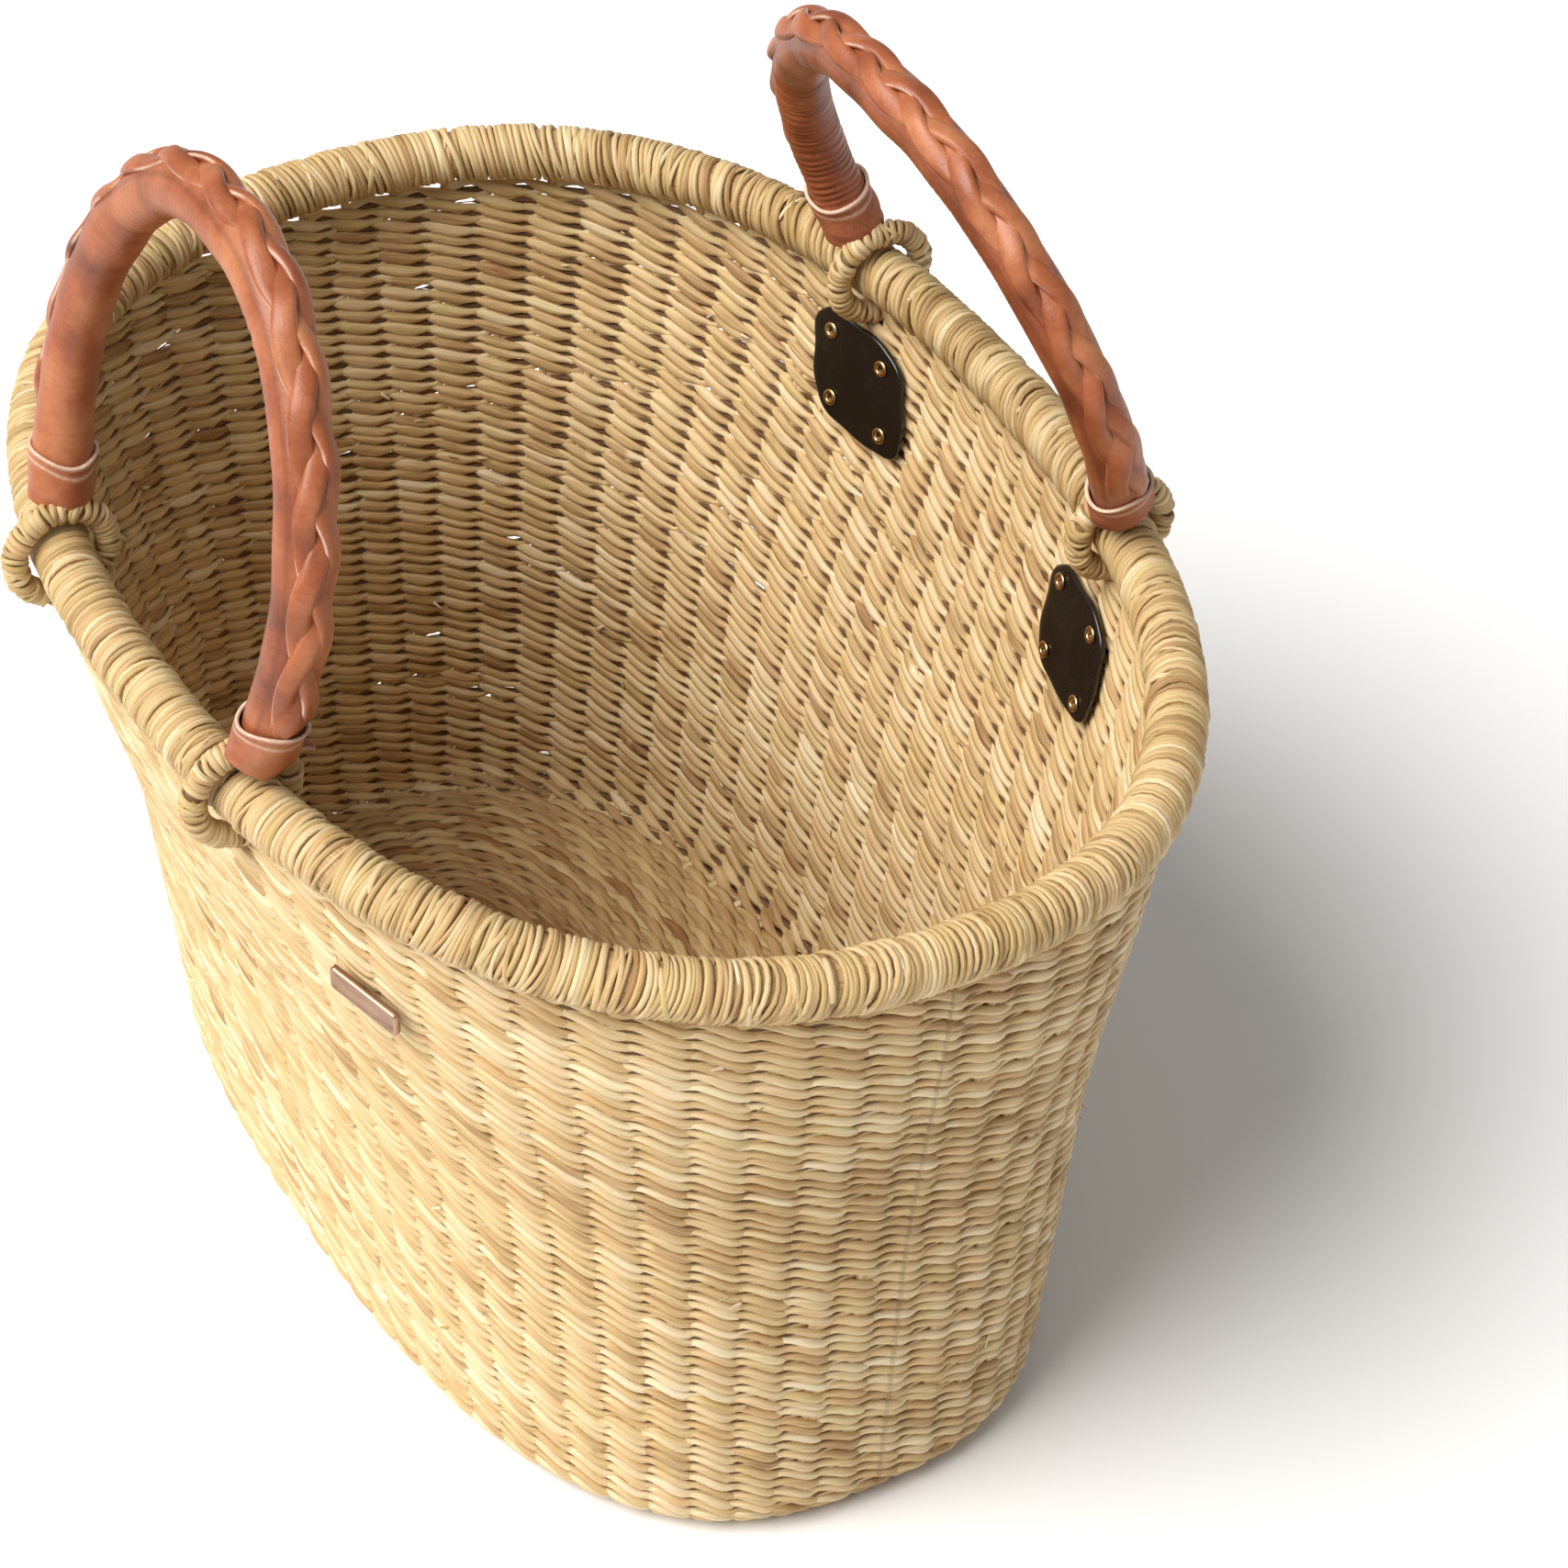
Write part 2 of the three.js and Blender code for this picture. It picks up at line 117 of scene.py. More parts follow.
def wavy(count, waves, terms=6):
    """A smooth periodic random signal of about unit size, with that many waves or fewer."""
    place = np.arange(count) / count
    total = np.zeros(count)
    for wave in random.integers(1, waves + 1, terms):
        total += np.cos(TAU * (wave * place + random.random()))
    return total / math.sqrt(terms / 2)


def grid_faces(tubes, steps, sides, closed):
    """Quads over tubes of rings, as vertex numbers."""
    rings = steps if closed else steps - 1
    tube, ring, side = np.meshgrid(np.arange(tubes), np.arange(rings), np.arange(sides), indexing="ij")
    beyond = (ring + 1) % steps
    beside = (side + 1) % sides

    def number(r, s):
        return (tube * steps + r) * sides + s

    corners = [number(ring, side), number(ring, beside), number(beyond, beside), number(beyond, side)]
    return np.stack(corners, -1).reshape(-1, 4)


def end_caps(tubes, steps, sides):
    """One face over each end of every tube."""
    first = np.arange(tubes)[:, None] * steps * sides + np.arange(sides)[None, ::-1]
    last = (np.arange(tubes)[:, None] + 1) * steps * sides - sides + np.arange(sides)[None, :]
    return np.concatenate([first, last])


def tube_rings(path, thick_way, wide_way, thick, wide, sides, power=1.0):
    """Rings of an oval section round every point of a path."""
    angle = circle(sides)
    across = signed_power(np.cos(angle), power)
    along = signed_power(np.sin(angle), power)
    offset = thick_way[..., None, :] * (thick[..., None] * across)[..., None]
    offset = offset + wide_way[..., None, :] * (wide[..., None] * along)[..., None]
    return path[..., None, :] + offset


def make_mesh(name, points, face_groups, marks):
    """A smooth mesh from numpy arrays; marks are per-vertex vectors, kept as attributes."""
    mesh = bpy.data.meshes.new(name)
    loops = np.concatenate([faces.ravel() for faces in face_groups]).astype(np.int32)
    totals = np.concatenate([np.full(len(faces), faces.shape[1]) for faces in face_groups]).astype(np.int32)
    starts = np.concatenate([[0], np.cumsum(totals)[:-1]]).astype(np.int32)
    mesh.vertices.add(len(points))
    mesh.vertices.foreach_set("co", points.astype(np.float32).ravel())
    mesh.loops.add(len(loops))
    mesh.loops.foreach_set("vertex_index", loops)
    mesh.polygons.add(len(totals))
    mesh.polygons.foreach_set("loop_start", starts)
    mesh.polygons.foreach_set("loop_total", totals)
    mesh.update(calc_edges=True)
    mesh.polygons.foreach_set("use_smooth", np.ones(len(totals), bool))
    for mark, values in marks.items():
        attribute = mesh.attributes.new(mark, "FLOAT_VECTOR", "POINT")
        attribute.data.foreach_set("vector", values.reshape(-1, 3).astype(np.float32).ravel())
    return mesh


def add_object(name, data):
    made = bpy.data.objects.new(name, data)
    bpy.context.scene.collection.objects.link(made)
    return made


def add_piece(name, mesh, material, body, replaced=()):
    piece = add_object(name, mesh)
    mesh.materials.append(material)
    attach(piece, body)
    if replaced:
        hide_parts(*replaced)
    return piece


def strand_marks(shape, sides, travelled, tone, hue, crown, girth):
    """Fibre coordinates (round and along a strand) and its colour numbers, for every vertex."""
    angle = circle(sides)
    fibre = np.zeros((*shape, sides, 3))
    fibre[..., 0] = np.cos(angle) * girth
    fibre[..., 1] = np.sin(angle) * girth
    fibre[..., 2] = travelled[..., None]
    looks = np.zeros((*shape, sides, 3))
    looks[..., 0] = tone[..., None]
    looks[..., 1] = hue[..., None]
    looks[..., 2] = crown[..., None]
    return {"fibre": fibre, "looks": looks}


def strand_mesh(name, path, thick_way, wide_way, thick, wide, sides, looks, closed):
    """A mesh of grass strands: path is (strands, steps, 3), and looks is (tone, hue, crown)."""
    rings = tube_rings(path, thick_way, wide_way, thick, wide, sides)
    strands, steps = path.shape[:2]
    hops = np.linalg.norm(np.diff(path, axis=1), axis=-1)
    travelled = np.concatenate([np.zeros((strands, 1)), np.cumsum(hops, 1)], 1)
    travelled = travelled + random.random((strands, 1)) * 20
    marks = strand_marks(path.shape[:2], sides, travelled, *looks, girth=STRAND_GIRTH)
    faces = [grid_faces(strands, steps, sides, closed)]
    if not closed:
        faces.append(end_caps(strands, steps, sides))
    return make_mesh(name, rings.reshape(-1, 3), faces, marks)


# ---- the basket's surface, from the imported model's boxes -------------------------

core_low, core_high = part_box("rim_core")
base_low, base_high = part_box("woven_base")
RIM_HEIGHT = (core_low.z + core_high.z) / 2
RIM_HALF = (core_high.x - RIM_CORE_RADIUS, (core_high.y - core_low.y) / 2 - RIM_CORE_RADIUS)
BASE_HALF = (base_high.x + BASE_INSET, base_high.y + BASE_INSET)


def widening(fraction):
    """0 at the base and 1 at the rim: a straight taper with a flare under the rim."""
    straight = TAPER["slope"] * np.minimum(fraction, TAPER["flare_end"])
    flare = smoothstep(fraction, TAPER["flare_start"], TAPER["flare_end"])
    return straight + (1 - TAPER["slope"] * TAPER["flare_end"]) * flare


def wall_point(angle, height, outward):
    """A point round the basket at a height, and a distance out from the middle of the wall."""
    fraction = height / RIM_HEIGHT
    share = widening(fraction)
    a = BASE_HALF[0] + (RIM_HALF[0] - BASE_HALF[0]) * share
    b = BASE_HALF[1] + (RIM_HALF[1] - BASE_HALF[1]) * share
    n = EXPONENTS[0] + (EXPONENTS[1] - EXPONENTS[0]) * share
    cosine, sine = np.cos(angle), np.sin(angle)
    x = a * signed_power(cosine, 2 / n)
    y = b * signed_power(sine, 2 / n) * (1 - NARROWING * cosine * share)
    normal = unit(np.stack([signed_power(x / a, n - 1) / a, signed_power(y / b, n - 1) / b], -1))
    z = height - RIM_TWIST * np.sin(2 * angle) * fraction
    return np.stack([x + outward * normal[..., 0], y + outward * normal[..., 1], z + 0 * x], -1)


def even_angles(count, height):
    """Angles that part the outline at a height into even lengths, starting at +X."""
    fine = np.linspace(0, TAU, 4001)
    length = running_length(wall_point(fine, height, 0.0))
    return np.interp(np.arange(count) / count * length[-1], length, fine)


ARC_LENGTH = FOOT_RADIUS * math.pi / 2
WALL_START = FLOOR_HEIGHT + FOOT_RADIUS
WALL_TOP = RIM_HEIGHT - RIM_RADIUS - 2.9 * MM


def shell_profile(distance):
    """(outward, height) of the weave's middle, by distance up from the edge of the floor."""
    turn = np.clip(distance / FOOT_RADIUS, 0, math.pi / 2)
    beyond = np.maximum(distance - ARC_LENGTH, 0)
    before = np.minimum(distance, 0)
    outward = -FOOT_RADIUS + FOOT_RADIUS * np.sin(turn) + before
    return outward, WALL_START - FOOT_RADIUS * np.cos(turn) + beyond


def shell_frame(angle, distance):
    """Points of the weave's middle, with the ways out of the shell and up it."""
    step = 0.5 * MM

    def point(turn, far):
        outward, height = shell_profile(far)
        return wall_point(turn, height, outward)

    middle = point(angle, distance)
    round_way = unit(point(angle + 2e-3, distance) - point(angle - 2e-3, distance))
    up_way = unit(point(angle, distance + step) - point(angle, distance - step))
    out_way = unit(np.cross(round_way, up_way))
    return middle, out_way, up_way


# ---- materials ---------------------------------------------------------------


class Nodes:
    """A short way to write one material's node tree."""

    def __init__(self, name):
        self.material = bpy.data.materials.new(name)
        self.material.use_nodes = True
        self.tree = self.material.node_tree
        self.shader = self.tree.nodes["Principled BSDF"]

    def add(self, kind, inputs=None, **settings):
        node = self.tree.nodes.new(kind)
        for key, value in settings.items():
            setattr(node, key, value)
        for key, value in (inputs or {}).items():
            if isinstance(value, bpy.types.NodeSocket):
                self.tree.links.new(value, node.inputs[key])
            else:
                node.inputs[key].default_value = value
        return node

    def math(self, operation, *values):
        return self.add("ShaderNodeMath", dict(enumerate(values)), operation=operation).outputs[0]

    def total(self, first, *others):
        for value in others:
            first = self.math("ADD", first, value)
        return first

    def times(self, value, weight):
        return self.math("MULTIPLY", value, weight)

    def spread(self, value, weight):
        """A noise's distance from its middle, times a weight."""
        return self.times(self.math("SUBTRACT", value, 0.5), weight)

    def mix(self, share, first, second, blend="MIX"):
        inputs = {0: share, 6: first, 7: second}
        return self.add("ShaderNodeMix", inputs, data_type="RGBA", blend_type=blend).outputs[2]

    def noise(self, vector, scale, detail=3.0, roughness=0.55):
        inputs = {"Vector": vector, "Scale": scale, "Detail": detail, "Roughness": roughness}
        return self.add("ShaderNodeTexNoise", inputs).outputs["Fac"]

    def ramp(self, value, *stops):
        node = self.add("ShaderNodeValToRGB", {0: value})
        elements = node.color_ramp.elements
        while len(elements) < len(stops):
            elements.new(0.5)
        for element, (place, colour) in zip(elements, stops):
            element.position = place
            element.color = (*colour, 1)
        return node.outputs[0]

    def scaled(self, vector, scale):
        return self.add("ShaderNodeMapping", {"Vector": vector, "Scale": scale}).outputs[0]

    def marks(self, name):
        return self.add("ShaderNodeAttribute", attribute_name=name)

    def object_place(self):
        return self.add("ShaderNodeTexCoord").outputs["Object"]

    def finish(self, colour, roughness, height=None, strength=0.5, distance=0.4 * MM, **constants):
        links = self.tree.links
        links.new(colour, self.shader.inputs["Base Color"])
        links.new(roughness, self.shader.inputs["Roughness"])
        if height is not None:
            bump = self.add("ShaderNodeBump", {"Height": height, "Strength": strength, "Distance": distance})
            links.new(bump.outputs[0], self.shader.inputs["Normal"])
        for key, value in constants.items():
            self.shader.inputs[key.replace("_", " ")].default_value = value
        return self.material


def grass_material(name, dark, middle, light, valley_shade):
    """Dry grass: streaks along each strand, blotches, a tone for every strand, painted shade in the valleys.
    """
    nodes = Nodes(name)
    fibre = nodes.marks("fibre").outputs["Vector"]
    looks = nodes.add("ShaderNodeSeparateXYZ", {0: nodes.marks("looks").outputs["Vector"]}).outputs
    streaks = nodes.noise(nodes.scaled(fibre, (2600, 2600, 90)), 1.0, 4.0)
    coarse = nodes.noise(nodes.scaled(fibre, (900, 900, 26)), 1.0, 2.0)
    blotch = nodes.noise(nodes.object_place(), 38.0, 2.0)
    noises = nodes.spread(streaks, 0.8), nodes.spread(coarse, 0.5), nodes.spread(blotch, 0.3)
    tone = nodes.total(looks[0], *noises)
    straw = nodes.ramp(tone, (0.05, dark), (0.5, middle), (0.95, light))
    tint = nodes.ramp(looks[1], (0.0, (0.94, 0.95, 0.80)), (0.5, (1.0, 1.0, 1.0)), (1.0, (1.0, 0.90, 0.82)))
    colour = nodes.mix(1.0, straw, tint, "MULTIPLY")
    # painted shade: the valley shade colour is mixed in where the third look number falls below 0.3
    fading = {"Value": looks[2], "From Min": 0.0, "From Max": 0.3, "To Min": 1.0, "To Max": 0.0}
    shade = nodes.add("ShaderNodeMapRange", fading).outputs[0]
    colour = nodes.mix(nodes.times(shade, 0.8), colour, (*valley_shade, 1))
    roughness = nodes.total(0.42, nodes.times(coarse, 0.3))
    height = nodes.total(nodes.times(streaks, 0.6), nodes.times(coarse, 0.6))
    return nodes.finish(colour, roughness, height, 0.75, 0.6 * MM)


def leather_material(name, dark, middle, light, suede):
    """Tanned leather: cloudy colour, fine grain and creases, pale raw edges and painted shade where marked.
    """
    nodes = Nodes(name)
    looks = nodes.add("ShaderNodeSeparateXYZ", {0: nodes.marks("looks").outputs["Vector"]}).outputs
    place = nodes.object_place()
    cloud = nodes.noise(place, 55.0, 4.0, 0.6)
    blotch = nodes.noise(place, 17.0, 2.0)
    grain = nodes.noise(place, 1500.0 if suede else 900.0, 3.0, 0.7)
    pores = nodes.add("ShaderNodeTexVoronoi", {"Vector": place, "Scale": 1100.0}).outputs["Distance"]
    speckle = nodes.spread(grain, 0.5 if suede else 0.22)
    tone = nodes.total(cloud, nodes.times(blotch, 0.45), -0.23, speckle, looks[0])
    hide = nodes.ramp(tone, (0.15, dark), (0.5, middle), (0.9, light))
    cut = nodes.ramp(grain, (0.3, (0.62, 0.40, 0.28)), (0.7, (0.86, 0.68, 0.52)))
    colour = nodes.mix(looks[1], hide, cut)
    # painted shade: the third look number mixes in a near-black brown
    colour = nodes.mix(looks[2], colour, (0.12, 0.035, 0.02, 1))
    roughness = nodes.total(0.6 if suede else 0.30, nodes.times(cloud, 0.25))
    height = nodes.total(nodes.times(grain, 0.6), nodes.times(pores, 0.5))
    return nodes.finish(colour, roughness, height, 0.45 if suede else 0.22, 0.35 * MM)


def coated_material(name, colour, worn, base_roughness, metallic, scratch, coat=0.0):
    """A hard surface with faint mottling, fine scratches and worn patches."""
    nodes = Nodes(name)
    place = nodes.object_place()
    cloud = nodes.noise(place, 60.0, 3.0)
    scratches = nodes.noise(nodes.scaled(place, scratch), 1.0, 4.0, 0.65)
    grain = nodes.noise(place, 1400.0, 2.0)
    tone = nodes.total(nodes.times(cloud, 0.6), nodes.times(scratches, 0.4))
    surface = nodes.ramp(tone, (0.3, colour), (0.75, worn))
    roughness = nodes.total(base_roughness, nodes.spread(tone, 0.5))
    height = nodes.total(nodes.times(scratches, 0.7), nodes.times(grain, 0.3))
    return nodes.finish(
        surface, roughness, height, 0.18, 0.15 * MM, Metallic=metallic, Coat_Weight=coat, Coat_Roughness=0.15
    )


def paper_material():
    nodes = Nodes("pale_floor")
    cloud = nodes.noise(nodes.object_place(), 1.4, 2.0)
    colour = nodes.ramp(cloud, (0.3, (0.90, 0.90, 0.895)), (0.7, (0.93, 0.93, 0.925)))
    roughness = nodes.total(0.85, nodes.times(cloud, 0.1))
    return nodes.finish(colour, roughness)


WEAVE = grass_material(
    "twined_grass", (0.29, 0.14, 0.045), (0.63, 0.445, 0.21), (0.84, 0.71, 0.49), (0.09, 0.04, 0.013)
)
PALE_GRASS = grass_material(
    "wrapped_grass", (0.30, 0.155, 0.055), (0.62, 0.435, 0.20), (0.84, 0.70, 0.46), (0.11, 0.05, 0.018)
)
# painted shade: dark brown, darker than the strands over it, for grass bundles that show only in the gaps of
# their wrapping
SHADED_CORE_GRASS = coated_material(
    "bundled_grass_painted_shade", (0.16, 0.09, 0.035), (0.30, 0.19, 0.08), 0.8, 0.0, (300, 900, 900)
)
TAN = leather_material("tan_leather", (0.12, 0.024, 0.008), (0.34, 0.092, 0.031), (0.56, 0.22, 0.092), False)
SUEDE = leather_material("cuff_leather", (0.14, 0.033, 0.012), (0.35, 0.10, 0.040), (0.52, 0.20, 0.09), True)
BLACK = coated_material(
    "black_plate", (0.006, 0.0045, 0.003), (0.016, 0.011, 0.008), 0.24, 0.0, (900, 900, 60), 0.25
)
STEEL = coated_material("black_steel", (0.012, 0.012, 0.013), (0.05, 0.05, 0.052), 0.42, 0.4, (60, 900, 900))
BRASS = coated_material("rivet_brass", (0.62, 0.38, 0.15), (0.83, 0.60, 0.32), 0.28, 1.0, (700, 700, 700))
ROSE_BRASS = coated_material(
    "label_brass", (0.36, 0.21, 0.14), (0.58, 0.40, 0.29), 0.42, 1.0, (900, 200, 900)
)

# ---- the woven shell -------------------------------------------------------------


def loop_middle(name, place):
    low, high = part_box(f"{name}_{place}_loop")
    return np.array((low + high) / 2)


HINGES = {name: [loop_middle(name, place) for place in ("left", "right")] for name in HANDLES}
LOOP_HOLES = [end - np.array([0, 0, LOOP["middle"]]) for ends in HINGES.values() for end in ends]


def strand_tones(rows, steps, spliced=7):
    """A tone and a hue along every strand, which change where a new length of grass starts."""
    tone = np.zeros((rows, 2, steps))
    hue = np.zeros((rows, 2, steps))
    for row in range(rows):
        for strand in range(2):
            cuts = np.sort(random.integers(0, steps, spliced))
            values = np.clip(random.normal(0.55, 0.11, spliced), 0.2, 0.9)
            hues = np.clip(random.normal(0.52, 0.17, spliced), 0, 1)
            piece = np.searchsorted(cuts, np.arange(steps), side="right") % spliced
            tone[row, strand] = values[piece]
            hue[row, strand] = hues[piece]
    return tone, hue


def stroke_noise(rows, strokes, spread):
    """One random number for every stroke of every strand, carried to its steps."""
    steps = strokes * STROKE_STEPS
    values = random.normal(0, spread, (rows, 2, strokes))
    place = np.arange(steps) / STROKE_STEPS
    first = np.floor(place).astype(int)
    share = smoothstep(place - first, 0.0, 1.0)
    return values[..., first] * (1 - share) + values[..., (first + 1) % strokes] * share


def part_round_loops(middle, up_way):
    """Pushes rows apart where a handle's loop goes through the wall."""
    half_width, half_height, share_upward = 7 * MM, 6 * MM, 0.55
    pushed = middle.copy()
    for hole in LOOP_HOLES:
        away = middle - hole
        sideways = np.hypot(away[..., 0], away[..., 1])
        near = np.exp(-((sideways / half_width) ** 4))
        push = np.maximum(half_height - np.abs(away[..., 2]), 0) * near
        pushed += up_way * (push * np.where(away[..., 2] > 0, share_upward, -1))[..., None]
    return pushed


def twined_rows(distances, angles):
    """Both strands of several twined rows, as paths with their sections and looks."""
    rows, strokes, steps = len(distances), RIBS, RIBS * STROKE_STEPS
    waves = np.stack([wavy(steps, 9) for _ in range(rows)]) * 0.4 * MM
    middle, out_way, up_way = shell_frame(angles[None, :], distances[:, None] + waves)
    middle = part_round_loops(middle, up_way)
    stroke = np.arange(steps) / STROKE_STEPS
    phase = math.pi * stroke[None, None, :] + np.array([0, math.pi])[None, :, None]
    phase = phase + stroke_noise(rows, strokes, 0.10)
    depth = WEAVE_DEPTH * (1 + stroke_noise(rows, strokes, 0.10))
    out = depth * signed_power(np.cos(phase + DEPTH_LEAD), 0.6)
    inside = smoothstep(-out / depth, -0.2, 0.5)  # strokes lie flatter and fuller inside the basket
    up = -WEAVE_RISE * np.sin(phase) * (1 - 0.33 * inside) + stroke_noise(rows, strokes, 0.2 * MM)
    path = middle[:, None] + out_way[:, None] * out[..., None] + up_way[:, None] * up[..., None]
    crown = np.cos(phase) ** 2
    wide = (1.0 * MM + 1.0 * MM * crown ** 0.7) * (1 + stroke_noise(rows, strokes, 0.13))
    wide = wide + 0.40 * MM * inside * crown ** 0.3
    thick = STRAND_THICKNESS * (0.95 + 0.1 * crown)
    wide_way = np.broadcast_to(up_way[:, None], path.shape)
    thick_way = np.broadcast_to(out_way[:, None], path.shape)
    tone, hue = strand_tones(rows, steps)
    # painted shade: strokes on the basket's inner face are darker in tone
    tone = tone + stroke_noise(rows, strokes, 0.08) - 0.07 * inside.reshape(tone.shape)
    merged = (rows * 2, steps)
    return (
        path.reshape(*merged, 3), thick_way.reshape(*merged, 3), wide_way.reshape(*merged, 3),
        thick.reshape(merged), wide.reshape(merged),
        (tone.reshape(merged), hue.reshape(merged), 0.3 + 0.7 * crown.reshape(merged)),
    )


def row_distances():
    """The rows' distances up from the edge of the floor."""
    length = ARC_LENGTH + (WALL_TOP - WALL_START)
    count = round(length / ROW_PITCH)
    return (np.arange(count) + 0.5) * length / count


def build_wall():
    distances = row_distances()
    angles = even_angles(RIBS * STROKE_STEPS, RIM_HEIGHT / 2)
    for number, first in enumerate(range(0, len(distances), ROWS_PER_PIECE)):
        chosen = distances[first:first + ROWS_PER_PIECE]
        path, thick_way, wide_way, thick, wide, looks = twined_rows(chosen, angles)
        mesh = strand_mesh("wall_rows", path, thick_way, wide_way, thick, wide, STRAND_SIDES, looks, True)
        add_piece(f"wall_rows_{number + 1:02d}", mesh, WEAVE, "basket", ["woven_wall"])


def build_filling():
    """The hidden crossings in the middle of the weave, painted dark as shade where they show; a few are open.
    """
    distances = row_distances()
    per_stroke, chance_open = 4, 0.008
    count, steps = len(distances), RIBS * per_stroke
    angles = even_angles(steps, RIM_HEIGHT / 2)
    middle, out_way, up_way = shell_frame(angles[None, :], distances[:, None])
    middle = part_round_loops(middle, up_way)
    closed = np.where(random.random((count, RIBS)) < chance_open, 0.1, 1.0)
    closed = np.roll(np.repeat(closed, per_stroke, 1), per_stroke // 2, 1)
    for hole in LOOP_HOLES:
        closed = closed * (0.1 + 0.9 * smoothstep(np.linalg.norm(middle - hole, axis=-1), 9 * MM, 13 * MM))
    # painted shade: a dark tone and no crown, so the valley shade colour covers the filling wherever it shows
    tone = np.full((count, steps), 0.1)
    looks = (tone, tone + 0.4, tone * 0)
    size = np.ones((count, steps))
    mesh = strand_mesh(
        "wall_filling", middle, out_way, up_way, size * 0.35 * MM, closed * 1.5 * MM, 4, looks, True
    )
    add_piece("wall_filling", mesh, WEAVE, "basket")


def build_ribs():
    """The stakes that the rows are twined round."""
    steps = 40
    angles = even_angles(RIBS * STROKE_STEPS, RIM_HEIGHT / 2)[::STROKE_STEPS]
    distance = np.linspace(-4 * MM, ARC_LENGTH + RIM_HEIGHT - WALL_START - 2 * MM, steps)
    middle, out_way, up_way = shell_frame(angles[:, None], distance[None, :])
    wide_way = np.cross(out_way, up_way)
    size = np.full(middle.shape[:2], 1.0)
    tone = np.repeat(random.normal(0.45, 0.1, (RIBS, 1)), steps, 1)
    looks = (tone, np.full_like(tone, 0.5), np.full_like(tone, 0.6))
    mesh = strand_mesh(
        "wall_ribs", middle, out_way, wide_way, size * 0.8 * MM, size * 1.5 * MM, 6, looks, False
    )
    add_piece("wall_ribs", mesh, WEAVE, "basket")


def floor_outline(inset, count):
    """A ring of the floor, that far inside its edge, with even steps."""
    a = BASE_HALF[0] - FOOT_RADIUS - inset
    b = BASE_HALF[1] - FOOT_RADIUS - inset
    n = 2 + (EXPONENTS[0] - 2) * b / BASE_HALF[1]
    fine = np.linspace(0, TAU, 4001)
    points = np.stack([a * signed_power(np.cos(fine), 2 / n), b * signed_power(np.sin(fine), 2 / n)], -1)
    length = running_length(points)
    even = np.arange(count) / count * length[-1]
    return resampled(points, length, even), length[-1]


def build_floor():
    """The woven base, as rings of two strands one inside another."""
    pitch, two_strokes = 4.4 * MM, 28 * MM
    rings = int((BASE_HALF[1] - FOOT_RADIUS) / pitch)
    parts, groups, marks, offset = [], [], {"fibre": [], "looks": []}, 0
    for ring in range(rings):
        inset = (ring + 0.5) * pitch
        length = floor_outline(inset, 8)[1]
        strokes = max(8, 2 * round(length / two_strokes))
        steps = strokes * STROKE_STEPS
        flat = floor_outline(inset, steps)[0]
        middle = np.concatenate([flat, np.full((steps, 1), FLOOR_HEIGHT)], 1)
        along = unit(np.roll(middle, -1, 0) - np.roll(middle, 1, 0))
        out_way = np.tile([0.0, 0.0, -1.0], (steps, 1))
        wide_way = np.cross(out_way, along)
        phase = math.pi * np.arange(steps) / STROKE_STEPS + np.array([[0], [math.pi]])
        jitter = stroke_noise(1, strokes, 0.2 * MM)[0]
        path = middle + out_way * (1.25 * MM * np.cos(phase))[..., None]
        path = path + wide_way * (-1.35 * MM * np.sin(phase) + jitter)[..., None]
        crown = np.cos(phase) ** 2
        shape = path.shape
        tone, hue = strand_tones(1, steps, 4)
        # painted shade: the floor's strands are 0.26 darker in tone than the wall's, for the shade deep
        # inside the basket
        looks = (tone[0] - 0.26, hue[0], 0.3 + 0.7 * crown)
        mesh_rings = tube_rings(
            path, np.broadcast_to(out_way, shape), np.broadcast_to(wide_way, shape),
            1.05 * MM * (0.8 + 0.2 * crown), 1.55 * MM + 0.75 * MM * crown, STRAND_SIDES,
        )
        travelled = np.tile(np.arange(steps) * length / steps + ring, (2, 1))
        strand = strand_marks(shape[:2], STRAND_SIDES, travelled, *looks, girth=STRAND_GIRTH)
        parts.append(mesh_rings.reshape(-1, 3))
        groups.append(grid_faces(2, steps, STRAND_SIDES, True) + offset)
        for key in marks:
            marks[key].append(strand[key].reshape(-1, 3))
        offset += len(parts[-1])
    marks = {key: np.concatenate(values) for key, values in marks.items()}
    mesh = make_mesh("floor_rows", np.concatenate(parts), [np.concatenate(groups)], marks)
    add_piece("floor_rows", mesh, WEAVE, "basket", ["woven_base"])


